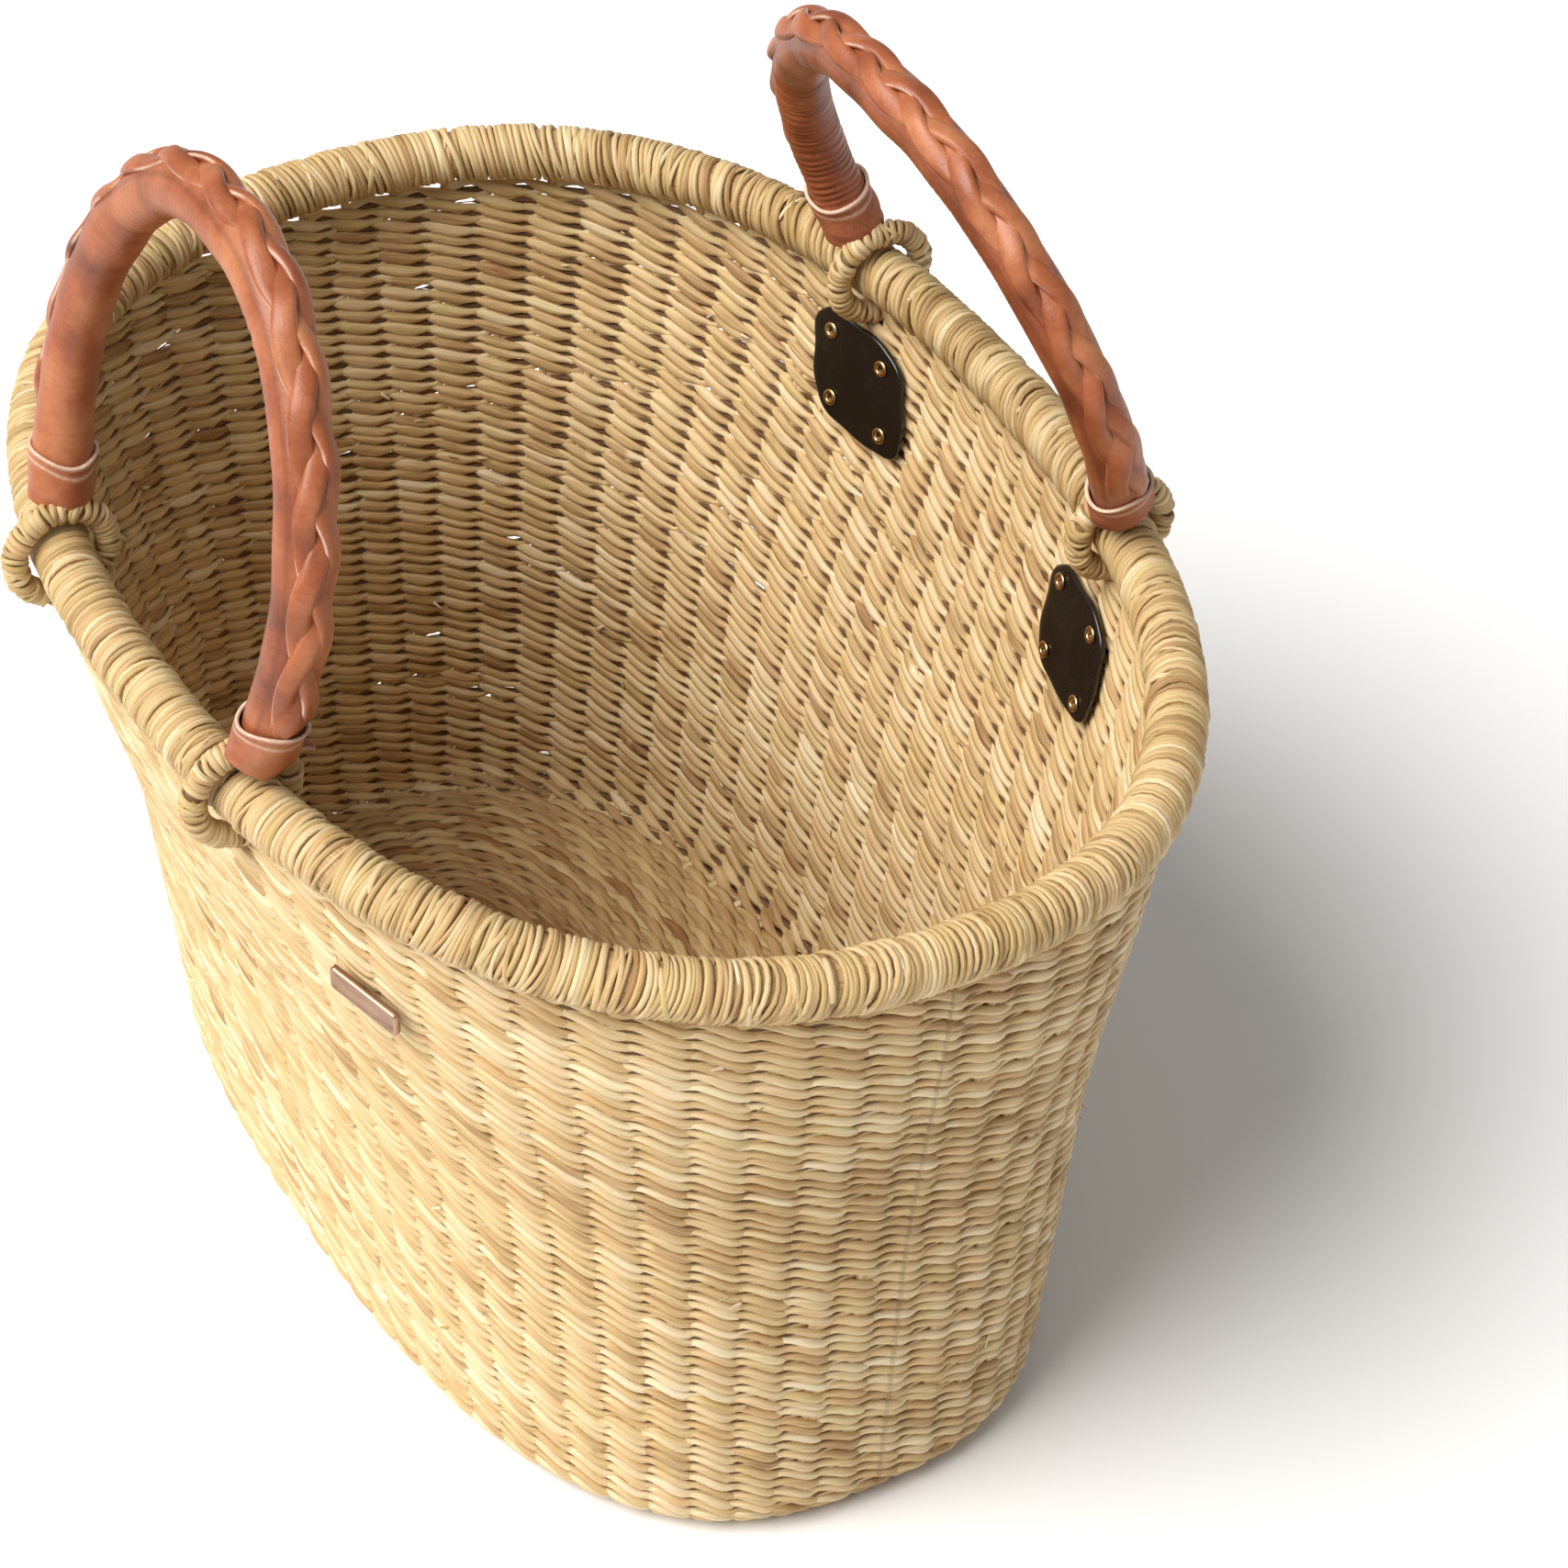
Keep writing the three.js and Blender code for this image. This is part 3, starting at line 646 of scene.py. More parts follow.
def build_frayed_ends():
    """Short cut ends that stand out of the weave where a new strand was laid in."""
    count, steps = 150, 5
    turn = random.random(count) * TAU
    far = random.uniform(0.1, 0.95, count) * (WALL_TOP - WALL_START) + ARC_LENGTH
    middle, out_way, up_way = shell_frame(turn, far)
    side_way = np.cross(out_way, up_way)
    face = np.where(random.random(count) < 0.6, -1.0, 1.0)
    lean = random.normal(0, 0.5, count)
    length = random.uniform(1.5, 3.6, count) * MM
    share = np.linspace(0, 1, steps)
    reach = (1.6 * MM + 1.6 * MM * share)[None, :] * face[:, None]
    path = middle[:, None] + out_way[:, None] * reach[..., None]
    path = path + side_way[:, None] * (length[:, None] * share)[..., None]
    path = path + up_way[:, None] * (length[:, None] * share * lean[:, None])[..., None]
    along = unit(path[:, 2:3] - path[:, :1])
    thick_way = unit(np.cross(along, up_way[:, None])) + np.zeros_like(path)
    wide_way = unit(np.cross(along, thick_way))
    taper = 1 - 0.6 * share
    wide = random.uniform(0.4, 1.0, (count, 1)) * MM * taper
    tone = np.repeat(random.normal(0.8, 0.15, (count, 1)), steps, 1)
    looks = (tone, np.full_like(tone, 0.6), np.ones_like(tone))
    mesh = strand_mesh("frayed_ends", path, thick_way, wide_way, wide * 0.4, wide, 5, looks, False)
    add_piece("frayed_ends", mesh, WEAVE, "basket")


# ---- wrapped grass: the rim and the handles' loops ------------------------------------


def turn_noise(turns, per_turn):
    """A random number for every turn, carried smoothly from one turn to the next."""
    values = np.repeat(random.normal(0, 1, turns), per_turn)
    half = per_turn // 2
    wrapped = np.concatenate([values[-half:], values, values[:half]])
    return np.convolve(wrapped, np.ones(2 * half + 1) / (2 * half + 1), "valid")


def wrapped_ring(
    name, centres, out_way, up_way, along, radius, turns, wide, thick, slant, body, replaced
):
    """A strand wound round a closed ring; the ring is sampled by functions of a 0-1 share."""
    per_turn, sides = 16, 8
    steps = turns * per_turn
    share = np.arange(steps) / steps
    angle = TAU * turns * share
    swell = turn_noise(turns, per_turn)
    drift = wavy(steps, 40)
    pitch = 1 / turns
    lean = turn_noise(turns, per_turn)
    tilt = slant * (1 + 0.3 * drift) * np.sin(angle + 0.6) + 0.55 * lean * np.cos(angle + 2 * drift)
    shifted = share + pitch * (tilt + 0.2 * swell)
    centre, out, up, way = centres(shifted), out_way(shifted), up_way(shifted), along(shifted)
    spoke = out * np.cos(angle)[:, None] + up * np.sin(angle)[:, None]
    lift = radius * (1 + 0.02 * swell + 0.01 * drift) + 0.25 * MM * lean * np.sin(angle + 3 * drift)
    path = centre + spoke * lift[:, None]
    size = 1 + 0.14 * np.repeat(random.normal(0, 1, turns), per_turn)
    widths = wide * size
    tone = np.repeat(np.clip(random.normal(0.47, 0.14, turns), 0.1, 0.9), per_turn)
    hue = np.repeat(np.clip(random.normal(0.45, 0.2, turns), 0, 1), per_turn)
    looks = (tone[None], hue[None], np.full((1, steps), 0.9))
    wide_way = unit(way - spoke * np.sum(way * spoke, 1, keepdims=True))
    thickness = np.full((1, steps), thick)
    mesh = strand_mesh(
        name, path[None], spoke[None], wide_way[None], thickness, widths[None], sides, looks, True
    )
    # painted shade: the strand darkens round its own section, towards its neighbours
    flank = np.abs(np.sin(circle(sides)))
    values = np.zeros((steps, sides, 3))
    values[..., 0] = tone[:, None]
    values[..., 1] = hue[:, None]
    values[..., 2] = 1 - 0.9 * flank ** 3
    mesh.attributes["looks"].data.foreach_set("vector", values.astype(np.float32).ravel())
    add_piece(name, mesh, PALE_GRASS, body, replaced)


def build_rim():
    """The rim's close turns, the stray ones over them, and a layer that fills what is between."""
    count = 4000
    angles = even_angles(count, RIM_HEIGHT)
    points = wall_point(angles, RIM_HEIGHT, 0.0)
    outer = wall_point(angles, RIM_HEIGHT, MM)
    out = unit(outer - points)
    along = unit(np.roll(points, -1, 0) - np.roll(points, 1, 0))
    up = np.cross(out, along)
    length = np.linalg.norm(np.diff(points, axis=0), axis=1).sum()

    def sample(values):
        wrapped = np.concatenate([values, values[:1]])
        return lambda share: np.stack(
            [np.interp(share % 1, np.linspace(0, 1, count + 1), wrapped[:, axis]) for axis in range(3)], -1
        )

    turns = round(length / (1.7 * MM))
    wrapped_ring(
        "rim_wrap_strands", sample(points), sample(out), sample(up), sample(along),
        RIM_RADIUS - 0.95 * MM, turns, 1.0 * MM, 1.0 * MM, 1.5, "basket", ["rim_wrap"],
    )
    build_stray_turns(sample(points), sample(out), sample(up), sample(along), length)
    every, sides = 8, 24
    steps = count // every
    size = np.full(steps, RIM_RADIUS - 1.5 * MM)
    rings = tube_rings(points[::every], out[::every], up[::every], size, size, sides)
    # painted shade: the under layer's tone, lower than the turns', reads as shade in the gaps between them
    tone = np.full(steps, 0.3)
    travelled = np.arange(steps) * length / steps
    marks = strand_marks((steps,), sides, travelled, tone, tone + 0.2, tone, RIM_RADIUS - 0.9 * MM)
    mesh = make_mesh("rim_under", rings.reshape(-1, 3), [grid_faces(1, steps, sides, True)], marks)
    add_piece("rim_under_layer", mesh, PALE_GRASS, "basket")


def build_stray_turns(centres, out_way, up_way, along, length):
    """Single strands that cross over their neighbours here and there round the rim."""
    count, steps = 190, 14
    start = random.random(count)
    reach = random.uniform(1.6, 3.6, count)
    first = random.uniform(0, TAU, count)
    lean = random.normal(0, 3.2 * MM, count) / length
    share = np.linspace(-0.5, 0.5, steps)
    angle = first[:, None] + reach[:, None] * share
    place = (start[:, None] + lean[:, None] * share).ravel()
    centre, out, up, way = centres(place), out_way(place), up_way(place), along(place)
    spoke = out * np.cos(angle.ravel())[:, None] + up * np.sin(angle.ravel())[:, None]
    tuck = (1 - (2 * share) ** 4) * np.ones((count, 1))
    path = centre + spoke * (RIM_RADIUS - 1.3 * MM + 0.95 * MM * tuck).reshape(-1, 1)
    shape = (count, steps, 3)
    path, spoke, way = path.reshape(shape), spoke.reshape(shape), way.reshape(shape)
    forward = unit(np.gradient(path, axis=1))
    wide_way = unit(np.cross(forward, spoke))
    wide = random.uniform(0.6, 1.1, (count, 1)) * MM * (0.4 + 0.6 * tuck)
    tone = np.repeat(np.clip(random.normal(0.62, 0.12, (count, 1)), 0.2, 0.95), steps, 1)
    hue = np.repeat(np.clip(random.normal(0.5, 0.2, (count, 1)), 0, 1), steps, 1)
    looks = (tone, hue, np.full_like(tone, 0.9))
    mesh = strand_mesh("rim_stray_turns", path, spoke, wide_way, 0.55 * wide, wide, 8, looks, False)
    add_piece("rim_stray_turns", mesh, PALE_GRASS, "basket")


def build_loops():
    """The grass rings that hold the handles: each goes round the rim and through the wall."""
    for name, ends in HINGES.items():
        hinge_x = unit(ends[1] - ends[0])
        for place, centre in zip(("left", "right"), ends):
            first = unit(np.cross(hinge_x, [0, 0, 1.0]))
            second = np.cross(hinge_x, first)

            def spoke(share):
                angle = TAU * share[:, None]
                return first * np.cos(angle) + second * np.sin(angle)

            def around(share):
                angle = TAU * share[:, None]
                return second * np.cos(angle) - first * np.sin(angle)

            wrapped_ring(
                f"{name}_{place}_loop_strands",
                lambda share: centre + spoke(share) * LOOP["middle"], spoke,
                lambda share: np.tile(hinge_x, (len(share), 1)), around,
                LOOP["cord"] - 0.75 * MM, 52, 1.12 * MM, 0.85 * MM, 0.25,
                f"{name}_handle", [f"{name}_{place}_loop"],
            )
            add_ring_core(f"{name}_{place}_loop_core", centre, first, second, hinge_x, f"{name}_handle")


def add_ring_core(name, centre, first, second, axis, body):
    """The grass bundle inside a loop's wrapping."""
    steps, sides = 48, 12
    angle = circle(steps)[:, None]
    spoke = first * np.cos(angle) + second * np.sin(angle)
    path = centre + spoke * LOOP["middle"]
    size = np.full(steps, LOOP["cord"] - 1.2 * MM)
    rings = tube_rings(path, spoke, np.tile(axis, (steps, 1)), size, size, sides)
    mesh = make_mesh(name, rings.reshape(-1, 3), [grid_faces(1, steps, sides, True)], {})
    add_piece(name, mesh, SHADED_CORE_GRASS, body)


# ---- leather handles ------------------------------------------------------------------


class HandleFrame:
    """A handle's own frame: X along its hinge, Z up its lean, from the boxes of its loops."""

    def __init__(self, name):
        self.name = name
        self.handle = HANDLES[name]
        left, right = (Vector(end) for end in HINGES[name])
        self.half_span = (right - left).length / 2
        along = (right - left).normalized()
        turn = Vector((1, 0, 0)).rotation_difference(along).to_matrix()
        lean = Matrix.Rotation(self.handle["side"] * math.radians(self.handle["lean"]), 3, "X")
        self.axes = np.array(turn @ lean)
        self.centre = np.array((left + right) / 2)

    def place(self, points):
        return self.centre + points @ self.axes.T

    def turned(self, vectors):
        return vectors @ self.axes.T

    def arch(self, start, count):
        """Even points of the middle line and its tangents, from one height round to the same."""
        height = self.handle["height"]
        first = math.asin((start / height) ** (ARCH["exponent"] / 2))
        angle = np.linspace(first, math.pi - first, 6000)
        rise = np.sin(angle) ** (2 / ARCH["exponent"])
        widened = 1 + ARCH["bulge"] * 4 * rise * (1 - rise)
        x = -self.half_span * signed_power(np.cos(angle), 2 / ARCH["exponent"]) * widened
        points = np.stack([x, np.zeros_like(x), height * rise], -1)
        length = running_length(points)
        even = np.linspace(0, length[-1], count)
        path = resampled(points, length, even)
        return path, unit(np.gradient(path, axis=0)), even


def section_ways(tangent):
    """The way out of the arch, away from its middle, and the way across it."""
    across = np.tile([0.0, 1.0, 0.0], (len(tangent), 1))
    outward = unit(np.cross(across, -tangent))
    return outward, across


def build_cover(own):
    """The leather tube: soft swellings, creases where it bends, and dense ones on one leg."""
    count, sides = 640, 36
    path, tangent, travelled = own.arch(HANDLE_START - 3 * MM, count)
    outward, across = section_ways(tangent)
    angle = circle(sides)
    share = travelled / travelled[-1]
    waves = wavy(count, 160, 40) * 0.5
    soft = wavy(count, 14, 8)
    inside = (0.5 - 0.5 * np.cos(angle)) ** 1.5
    bend = np.exp(-(((share - 0.36) / 0.07) ** 2)) + np.exp(-(((share - 0.64) / 0.07) ** 2))
    crease = 0.22 * MM * bend[:, None] * inside[None, :] * waves[:, None]
    if own.name == "rear":
        dense = smoothstep(0.30 - share, 0.0, 0.08)
    else:
        dense = 0.15 * smoothstep(0.2 - share, 0, 0.1)
    phase = TAU * travelled / (2.7 * MM) + 2.2 * wavy(count, 25, 8)
    wrinkle = 0.26 * MM * dense[:, None] * (np.sin(phase)[:, None] + 0.5 * waves[:, None])
    wrinkle = wrinkle * (0.75 + 0.25 * np.sin(angle[None, :] * 2 + soft[:, None]))
    radius = COVER_RADIUS + 0.2 * MM * soft[:, None] + crease + wrinkle
    spoke = outward[:, None] * np.cos(angle)[None, :, None] + across[:, None] * np.sin(angle)[None, :, None]
    points = own.place((path[:, None] + spoke * radius[..., None]).reshape(-1, 3))
    looks = np.zeros((count, sides, 3))
    # painted shade and highlight: the tone drops in the hollows of creases and wrinkles and rises on their
    # ridges; it is also lower where the wrinkles are dense
    looks[..., 0] = -0.12 * dense[:, None] + 0.05 * soft[:, None] + 0.25 * (crease + wrinkle) / MM
    from_top = np.abs((angle + math.pi) % TAU - math.pi)
    # painted shade: a dark line along the cover, in the crevice beside the plait's edge
    crevice_shade = np.exp(-((from_top - math.radians(58)) / 0.10) ** 2)
    looks[..., 2] = 0.5 * crevice_shade[None, :]
    faces = [grid_faces(1, count, sides, False), end_caps(1, count, sides)]
    mesh = make_mesh(f"{own.name}_cover", points, faces, {"looks": looks})
    add_piece(
        f"{own.name}_cover_leather", mesh, TAN, f"{own.name}_handle",
        [f"{own.name}_handle_cover"],
    )


def build_plait(own):
    """Three rounded leather strips plaited along the outer side of the grip."""
    count, sides = 560, 20
    path, tangent, travelled = own.arch(HANDLE_START + 4 * MM, count)
    outward, across = section_ways(tangent)
    period, swing = 66 * MM, math.radians(28)
    to_end = np.minimum(travelled, travelled[-1] - travelled)
    tucked = 1 - smoothstep(to_end, 4 * MM, 13 * MM)  # 1 where the plait goes into a cuff
    tips = smoothstep(to_end, 0, 8 * MM)
    angle = circle(sides)
    parts, groups, looks = [], [], []
    for strip in range(3):
        phase = TAU * (travelled / period + strip / 3)
        turn = swing * np.sin(phase)
        lift = COVER_RADIUS + 0.1 * MM + 1.15 * MM * np.sin(2 * phase) * (1 - tucked) - 1.7 * MM * tucked
        spoke = outward * np.cos(turn)[:, None] + across * np.sin(turn)[:, None]
        middle = path + spoke * lift[:, None]
        way = unit(np.gradient(middle, axis=0))
        wide_way = unit(np.cross(way, spoke))
        thick_way = np.cross(wide_way, way)
        tilt = 0.30 * np.cos(phase)
        wide = np.full(count, 3.3 * MM) * (1 + 0.06 * wavy(count, 12))
        wide = wide * (0.35 + 0.65 * tips)
        thick = 1.8 * MM * (1 - 0.4 * tucked)
        flat = wide_way * np.cos(tilt)[:, None] + thick_way * np.sin(tilt)[:, None]
        face = thick_way * np.cos(tilt)[:, None] - wide_way * np.sin(tilt)[:, None]
        rings = tube_rings(middle, face, flat, thick, wide, sides, 0.85)
        parts.append(own.place(rings.reshape(-1, 3)))
        groups.append(grid_faces(1, count, sides, False) + strip * count * sides)
        groups.append(end_caps(1, count, sides) + strip * count * sides)
        values = np.zeros((count, sides, 3))
        # painted shade: each strip is lighter on its outward face and darker on the side against the cover
        values[..., 0] = 0.06 * np.cos(angle)[None, :] + 0.05 * wavy(count, 10)[:, None]
        rawness = np.clip(0.4 + 0.5 * wavy(count, 30), 0, 0.8)
        values[..., 1] = smoothstep(np.abs(np.sin(angle)), 0.96, 1.0)[None, :] * rawness[:, None]
        looks.append(values)
    mesh = make_mesh(f"{own.name}_plait", np.concatenate(parts), groups, {"looks": np.concatenate(looks)})
    add_piece(
        f"{own.name}_plait_leather", mesh, TAN, f"{own.name}_handle",
        [f"{own.name}_handle_lacing"],
    )


def build_cuff(own, place, way):
    """A leather sleeve over the end of the grip, with a tongue on each face down to the rim."""
    sides, levels = 64, 26
    angle = circle(sides)  # 0 points along the hinge, a quarter turn across it
    tongue = 11.8 * MM + 3.8 * MM * np.abs(np.sin(angle)) ** 1.6
    lip = 29.5 * MM + 0.7 * MM * np.sin(angle * 2 + way)
    lip = lip + 0.5 * MM * np.sin(angle * 3 + 2 * own.handle["side"])
    thickness = 1.1 * MM
    share = np.linspace(0, 1, levels)
    outer_z = tongue[None, :] + (lip - tongue)[None, :] * share[:, None]
    swell = 0.25 * MM * np.sin(share * math.pi * 3 + 1)[:, None] * np.cos(angle * 3 + way)[None, :]
    pinch = 2.4 * MM * (1 - smoothstep(share, 0.0, 0.42))[:, None] * np.abs(np.cos(angle))[None, :] ** 1.5
    outer_r = CUFF_RADIUS + swell - pinch + 0.35 * MM * smoothstep(share, 0.8, 1.0)[:, None]
    radius = np.concatenate([outer_r, outer_r[::-1] - thickness])
    height = np.concatenate([outer_z, outer_z[::-1]])
    centre_x = way * own.half_span * leg_widening(own, height)
    points = np.stack(
        [centre_x + radius * np.cos(angle)[None, :], radius * np.sin(angle)[None, :], height], -1
    )
    rings = 2 * levels
    faces = grid_faces(1, rings, sides, True)
    looks = np.zeros((rings, sides, 3))
    edge = np.concatenate([smoothstep(share, 0.93, 1.0), smoothstep(share[::-1], 0.5, 1.0)])
    looks[..., 1] = edge[:, None] * 0.95
    looks[..., 0] = 0.05 * np.sin(angle * 2 + way)[None, :]
    line = np.exp(-((np.concatenate([share, share[::-1]]) - 0.80) / 0.03) ** 2)
    looks[..., 1] += 0.55 * line[:, None]
    mesh = make_mesh(f"{own.name}_{place}_cuff", own.place(points.reshape(-1, 3)), [faces], {"looks": looks})
    material = SUEDE if own.name == "rear" else TAN
    add_piece(
        f"{own.name}_{place}_cuff_leather", mesh, material, f"{own.name}_handle",
        [f"{own.name}_{place}_cuff"],
    )


def leg_widening(own, height):
    """The leg's distance from the middle at a height, as a share of the half span."""
    rise = np.clip(height / own.handle["height"], 0, 1)
    cosine = np.sqrt(1 - rise ** ARCH["exponent"])
    return cosine ** (2 / ARCH["exponent"]) * (1 + ARCH["bulge"] * 4 * rise * (1 - rise))


def build_strap_end(own):
    """The loose rounded end of a leather strip, on the inner side of the right cuff."""
    low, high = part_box("front_right_strap_end")
    centre = np.array((low + high) / 2)
    length, half_wide, thick = 3.2 * MM, 2.3 * MM, 1.2 * MM
    steps, sides = 14, 14
    share = np.linspace(-1, 1, steps)
    inward = own.turned(np.array([0.0, 1.0, 0.0]))
    side_way = own.turned(np.array([1.0, 0.0, 0.0]))
    face = own.turned(np.array([0.0, 0.0, 1.0]))
    droop = 0.7 * MM * share ** 2 + 0.4 * MM * share
    path = centre + inward * (share * length)[:, None] - face * droop[:, None]
    wide = half_wide * (np.sqrt(1 - np.clip(share, 0, 0.97) ** 4) + 0.02)
    ways = np.tile(face, (steps, 1)), np.tile(side_way, (steps, 1))
    rings = tube_rings(path, *ways, np.full(steps, thick), wide, sides, 0.7)
    looks = np.zeros((steps, sides, 3))
    looks[..., 1] = smoothstep(np.abs(np.sin(circle(sides))), 0.9, 1.0)[None, :] * 0.6
    mesh = make_mesh(
        "strap_end", rings.reshape(-1, 3), [grid_faces(1, steps, sides, False), end_caps(1, steps, sides)],
        {"looks": looks},
    )
    add_piece(
        "front_right_strap_end_leather", mesh, TAN, "front_handle",
        ["front_right_strap_end"],
    )


# ---- plates, rivets, hooks and label ----------------------------------------------------


class BracketFrame:
    """A bracket's own frame, from its four rivets: X along the wall, Y out of it, Z up it."""

    def __init__(self, name):
        self.name = name
        places = []
        for number in range(1, 5):
            low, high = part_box(f"{name}_rivet_{number}")
            places.append(np.array((low + high) / 2))
        self.rivets = places
        self.centre = sum(places) / 4
        along = places[1] - places[0] + places[3] - places[2]
        up = places[2] - places[0] + places[3] - places[1]
        out = unit(np.cross(up, along))
        level = unit(np.cross([1.0, 0, 0], out))
        self.axes = np.stack([np.cross(out, level), out, level], 1)
        self.drop = -(along @ self.axes[:, 2]) / (along @ self.axes[:, 0])
        self.skew = -(up @ self.axes[:, 0]) / (up @ self.axes[:, 2])

    def place(self, points):
        return self.centre + points @ self.axes.T

    def skewed(self, x, z):
        """Where a point of a true plate ends up on one whose rivets sit askew like these."""
        return x - z * self.skew, z - x * self.drop


def bevel(piece, width):
    modifier = piece.modifiers.new("soft_edges", "BEVEL")
    modifier.width = width
    modifier.segments = 3
    modifier.limit_method = "ANGLE"


def slab(outline, near, far):
    """Points and faces of a flat shape, drawn in X-Z, between two distances out of the wall."""
    count = len(outline)
    points = np.array([(x, near, z) for x, z in outline] + [(x, far, z) for x, z in outline])
    ring = np.arange(count)
    sides = np.stack([ring, (ring + 1) % count, (ring + 1) % count + count, ring + count], -1)
    caps = np.stack([ring[::-1], ring + count])
    return points, [sides, caps]


RIVET_MIDDLE = 0.5 * MM  # a rivet's middle lies this far outward from the wall's middle
PLATE_FACES = (-4.0 * MM - RIVET_MIDDLE, -5.9 * MM - RIVET_MIDDLE)
BRACKETS = {
    "left": dict(half=(22.5 * MM, 18.5 * MM), hook_top=16.5 * MM),
    "right": dict(half=(20.5 * MM, 18.5 * MM), hook_top=22.5 * MM),
}


def build_plate(own):
    """A lobed black oval with a soft edge, slightly sprung off the weave."""
    count, rings = 96, 12
    angle = circle(count)
    swell = 1 - 0.055 * np.cos(4 * angle) + 0.016 * np.cos(9 * angle + 1)
    half_x, half_z = BRACKETS[own.name]["half"]
    x = half_x * signed_power(np.cos(angle), 0.85) * swell
    z = half_z * signed_power(np.sin(angle), 0.85) * swell
    near, far = PLATE_FACES
    soft = 0.5 * MM
    profile = [(0.93, near), (0.98, near), (1.0, near - soft), (1.0, far + soft)]
    profile += [(0.985, far + 0.1 * MM), (0.96, far)]
    profile += [(share, far - 0.35 * MM * (1 - share ** 2)) for share in np.linspace(0.85, 0.06, rings)]
    x, z = own.skewed(x, z)
    points = np.array([np.stack([x * share, 0 * x + y, z * share], -1) for share, y in profile])
    steps = len(profile)
    faces = [grid_faces(1, steps, count, False)[:, ::-1], end_caps(1, steps, count)[:, ::-1]]
    mesh = make_mesh(f"{own.name}_plate", own.place(points.reshape(-1, 3)), faces, {})
    add_piece(
        f"{own.name}_plate_black", mesh, BLACK, "basket", [f"{own.name}_backing_plate"]
    )


def build_rivet(own, number):
    """A hollow eyelet with a rolled head at each end."""
    head, bore, reach, inner = 2.7 * MM, 1.15 * MM, 8.4 * MM, 7.6 * MM
    shank = 1.8 * MM
    roll = (head - bore) / 2
    centre = (head + bore) / 2
    lip = [(centre + roll * math.cos(t), 0.75 * roll * math.sin(t)) for t in np.linspace(0, math.pi, 9)]
    top = [(r, reach - 0.75 * roll + h) for r, h in lip]
    foot = [(r, reach - inner - h) for r, h in reversed(top)]
    profile = [(shank, reach - roll)] + top + foot + [(shank, -inner + roll)]
    sides = 24
    angle = circle(sides)
    points = np.array([[(r * math.cos(a), h, r * math.sin(a)) for a in angle] for r, h in profile])
    offset = own.axes.T @ (own.rivets[number - 1] - own.centre)
    faces = [grid_faces(1, len(profile), sides, True)[:, ::-1]]
    mesh = make_mesh(f"{own.name}_rivet_{number}", own.place(points.reshape(-1, 3) + offset), faces, {})
    add_piece(
        f"{own.name}_eyelet_{number}", mesh, BRASS, "basket", [f"{own.name}_rivet_{number}"]
    )


def rounded_box(half_x, half_z, radius):
    """The outline of a rectangle with rounded corners, as (x, z) pairs."""
    per_corner = 6
    outline = []
    for corner in range(4):
        cx = (half_x - radius) * (1 if corner in (0, 3) else -1)
        cz = (half_z - radius) * (1 if corner in (0, 1) else -1)
        for step in range(per_corner + 1):
            turn = math.pi / 2 * (corner + step / per_corner)
            outline.append((cx + radius * math.cos(turn), cz + radius * math.sin(turn)))
    return outline


def build_hook(own):
    """A steel plate with rounded corners, and a bent strip that hangs on the rack's rail."""
    near = 5 * MM - RIVET_MIDDLE
    thickness, gap, drop, half_strip, foot = 2.5 * MM, 14 * MM, 20 * MM, 9 * MM, 17 * MM
    top = BRACKETS[own.name]["hook_top"]
    outline = [(x, z + (top - foot) / 2) for x, z in rounded_box(19 * MM, (top + foot) / 2, 3 * MM)]
    points, groups = slab(outline, near, near + thickness)
    radius = 4 * MM
    start = near + thickness / 2
    far = near + thickness + gap + thickness / 2
    bend_height = top + thickness / 2 - radius
    line = [(start, top - radius)]
    for middle, first, last in ((start + radius, math.pi, math.pi / 2), (far - radius, math.pi / 2, 0)):
        for turn in np.linspace(first, last, 8):
            line.append((middle + radius * math.cos(turn), bend_height + radius * math.sin(turn)))
    line.append((far, top - drop))
    line = np.array(line)
    way = unit(np.gradient(line, axis=0))
    normal = np.stack([-way[:, 1], way[:, 0]], -1)
    outer, inner = line + normal * thickness / 2, line - normal * thickness / 2
    strip = np.array(
        [[(x, y, z) for x in (-half_strip, half_strip) for y, z in pair] for pair in zip(outer, inner)]
    )[:, [0, 1, 3, 2]]
    offset = len(points)
    strip_faces = [grid_faces(1, len(line), 4, False) + offset, end_caps(1, len(line), 4) + offset]
    whole = own.place(np.concatenate([points, strip.reshape(-1, 3)]))
    mesh = make_mesh(f"{own.name}_hook", whole, [*groups, *strip_faces], {})
    mesh.polygons.foreach_set("use_smooth", np.zeros(len(mesh.polygons), bool))
    piece = add_piece(
        f"{own.name}_hook_steel", mesh, STEEL, "basket", [f"{own.name}_rack_hook"]
    )
    bevel(piece, 0.5 * MM)


def label_frame():
    """The label's middle and its axes (along, out, up), from the faces of its CAD mesh."""
    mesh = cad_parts["label_plate"].data
    spread = np.zeros((3, 3))
    for face in mesh.polygons:
        normal = np.array(face.normal)
        spread += face.area * np.outer(normal, normal)
    along, up, out = np.linalg.eigh(spread)[1].T
    points = np.array([vertex.co for vertex in mesh.vertices])
    out = out * np.sign(out @ points.mean(0))
    up = up * np.sign(up[2])
    along = np.cross(out, up)
    centre = sum(axis * (np.max(points @ axis) + np.min(points @ axis)) / 2 for axis in (along, up))
    return centre + out * np.max(points @ out), np.stack([along, out, up], 1)


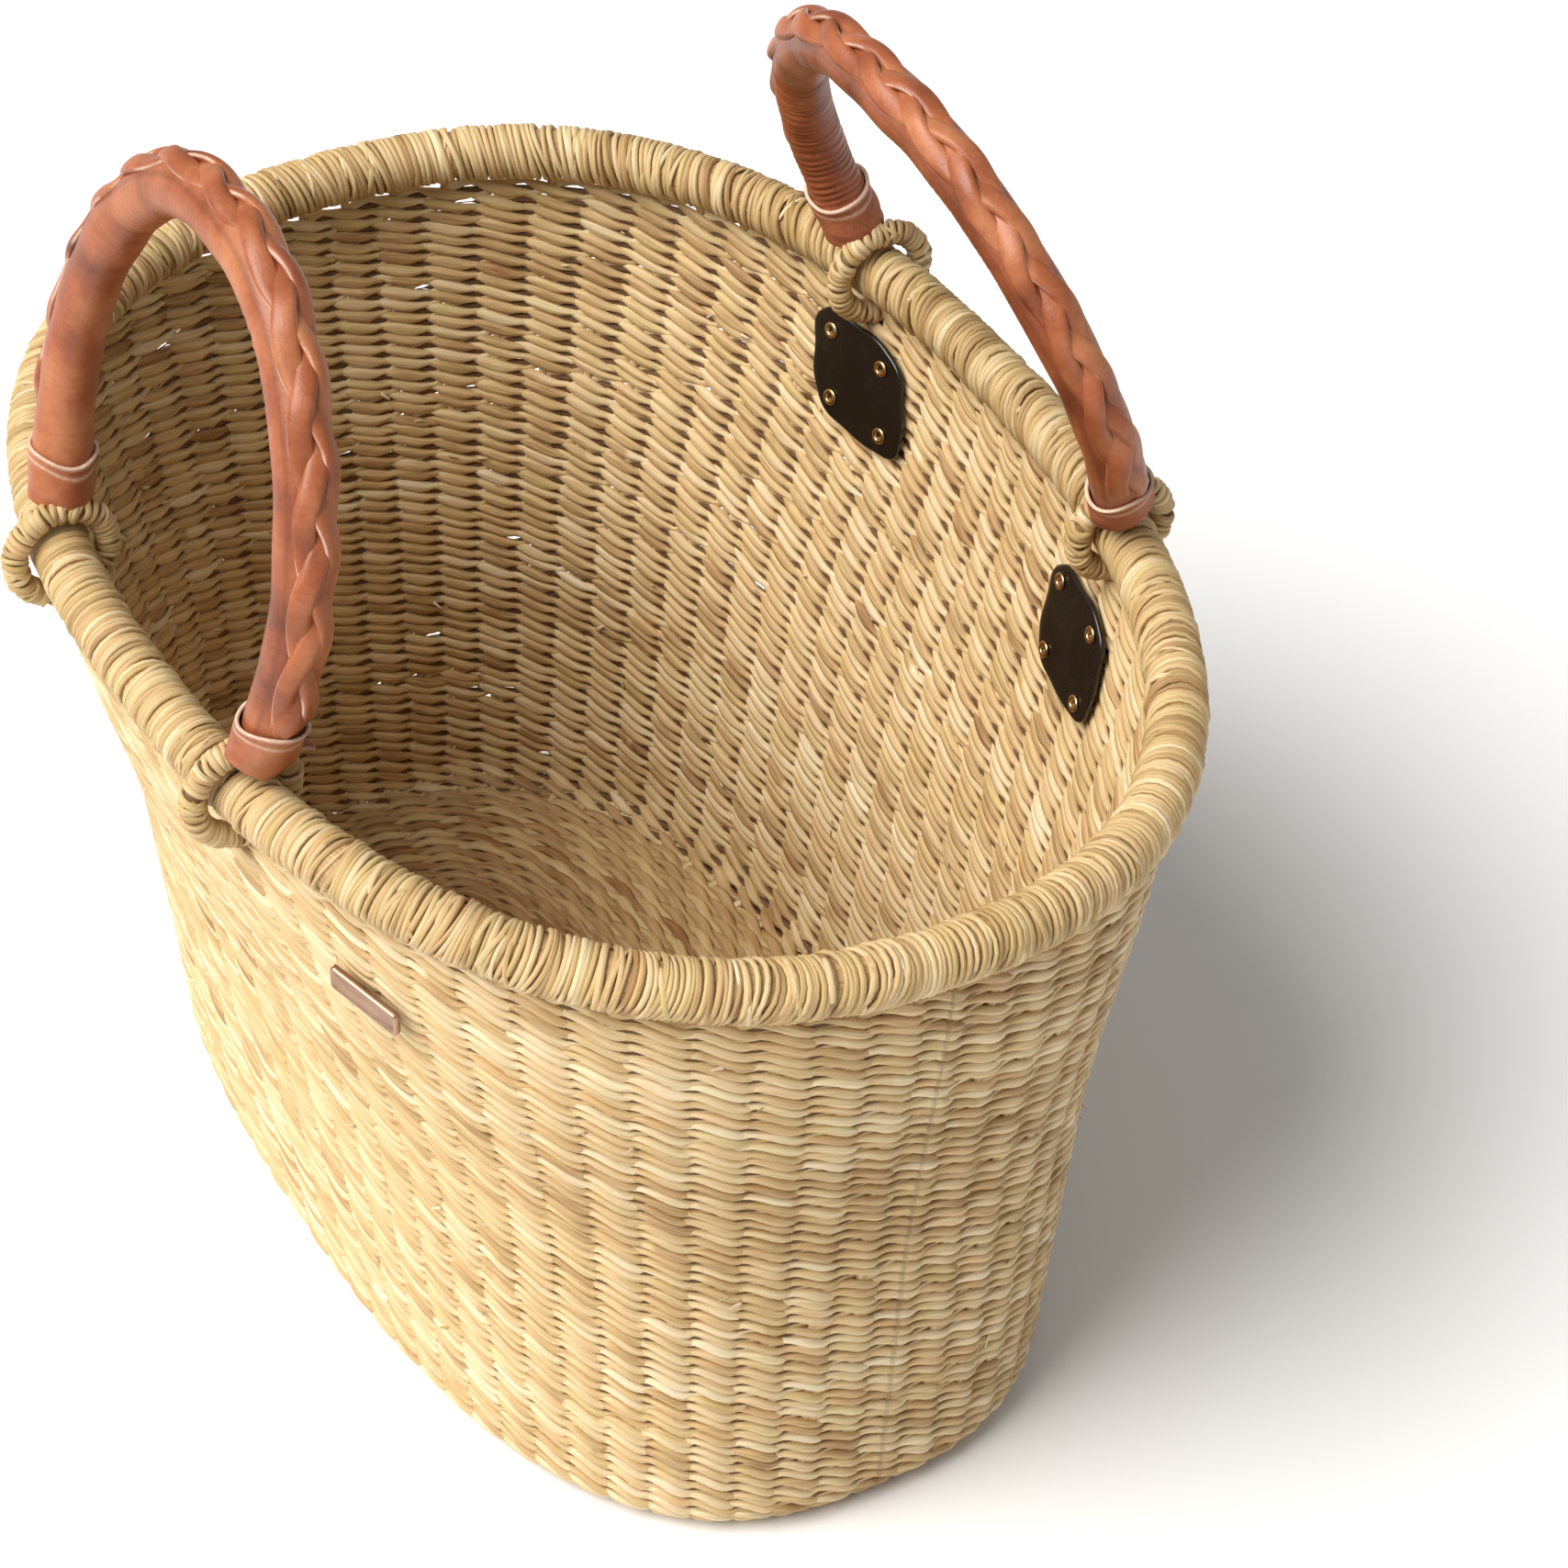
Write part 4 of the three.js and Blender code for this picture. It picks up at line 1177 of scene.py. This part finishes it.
def build_label():
    """A blank cast plate: a raised smooth border round a lightly beaten field."""
    front, axes = label_frame()
    half_x, half_z, border, deep, thick = 12.25 * MM, 5 * MM, 1.2 * MM, 0.6 * MM, 2 * MM
    levels = [(0.0, -thick), (0.0, -0.3 * MM), (0.3, 0.0), (0.75, 0.0), (1.0, -deep)]
    rings = []
    for share, depth in levels:
        inset = share * border
        outline = rounded_box(half_x - inset, half_z - inset, 1.4 * MM - 0.5 * inset)
        rings.append([(x, depth, z) for x, z in outline])
    count = len(rings[0])
    points = np.array(rings).reshape(-1, 3)
    faces = [grid_faces(1, len(rings), count, False), end_caps(1, len(rings), count)]
    mesh = make_mesh("label", front + points @ axes.T, faces, {})
    add_piece("label_brass_plate", mesh, ROSE_BRASS, "basket", ["label_plate"])


# ---- stage -------------------------------------------------------------------------------

LIGHT = dict(sun=4.4, softness=46, way=(0.02, 0.90, -1.08), sky=0.33)
VIEW = dict(
    target=(0.0312, 0.0466, 0.150), azimuth=59.168, elevation=41.025, roll=2.004, distance=1.4989, lens=114.55
)


def build_stage():
    mesh = bpy.data.meshes.new("floor")
    reach = 3.0
    corners = [(-reach, -reach, 0), (reach, -reach, 0), (reach, reach, 0), (-reach, reach, 0)]
    mesh.from_pydata(corners, [], [(0, 1, 2, 3)])
    mesh.materials.append(paper_material())
    floor = add_object("floor", mesh)


def build_lights():
    sun = bpy.data.lights.new("key", "SUN")
    sun.energy = LIGHT["sun"]
    sun.angle = math.radians(LIGHT["softness"])
    sun.color = (1.0, 0.985, 0.96)
    lamp = add_object("key", sun)
    lamp.rotation_euler = Vector(LIGHT["way"]).to_track_quat("-Z", "Y").to_euler()
    world = bpy.data.worlds.new("studio")
    world.use_nodes = True
    background = world.node_tree.nodes["Background"]
    background.inputs["Color"].default_value = (1.0, 1.0, 1.0, 1)
    background.inputs["Strength"].default_value = LIGHT["sky"]
    bpy.context.scene.world = world


def build_camera():
    target = Vector(VIEW["target"])
    azimuth, elevation = math.radians(VIEW["azimuth"]), math.radians(VIEW["elevation"])
    level = math.cos(elevation)
    away = Vector((level * math.sin(azimuth), -level * math.cos(azimuth), math.sin(elevation)))
    data = bpy.data.cameras.new("camera")
    data.lens = VIEW["lens"]
    data.sensor_width = 36
    camera = add_object("camera", data)
    upright = (-away).to_track_quat("-Z", "Y").to_matrix()
    turned = upright @ Matrix.Rotation(math.radians(VIEW["roll"]), 3, "Z")
    camera.matrix_world = Matrix.Translation(target + away * VIEW["distance"]) @ turned.to_4x4()
    bpy.context.scene.camera = camera
    bpy.context.scene.view_settings.view_transform = "Standard"


# ---- assembly ------------------------------------------------------------------------------

build_camera()
build_wall()
build_filling()
build_ribs()
build_floor()
build_frayed_ends()
build_rim()
build_loops()
for handle_name in HANDLES:
    grip = HandleFrame(handle_name)
    build_cover(grip)
    build_plait(grip)
    build_cuff(grip, "left", -1)
    build_cuff(grip, "right", 1)
    if handle_name == "front":
        build_strap_end(grip)
for bracket_name in ("left", "right"):
    bracket = BracketFrame(bracket_name)
    build_plate(bracket)
    build_hook(bracket)
    for rivet_number in range(1, 5):
        build_rivet(bracket, rivet_number)
build_label()
for core in ("rim_core", "front_handle_core", "rear_handle_core"):
    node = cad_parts[core]
    node.data.materials.clear()
    node.data.materials.append(SHADED_CORE_GRASS)
build_stage()
build_lights()
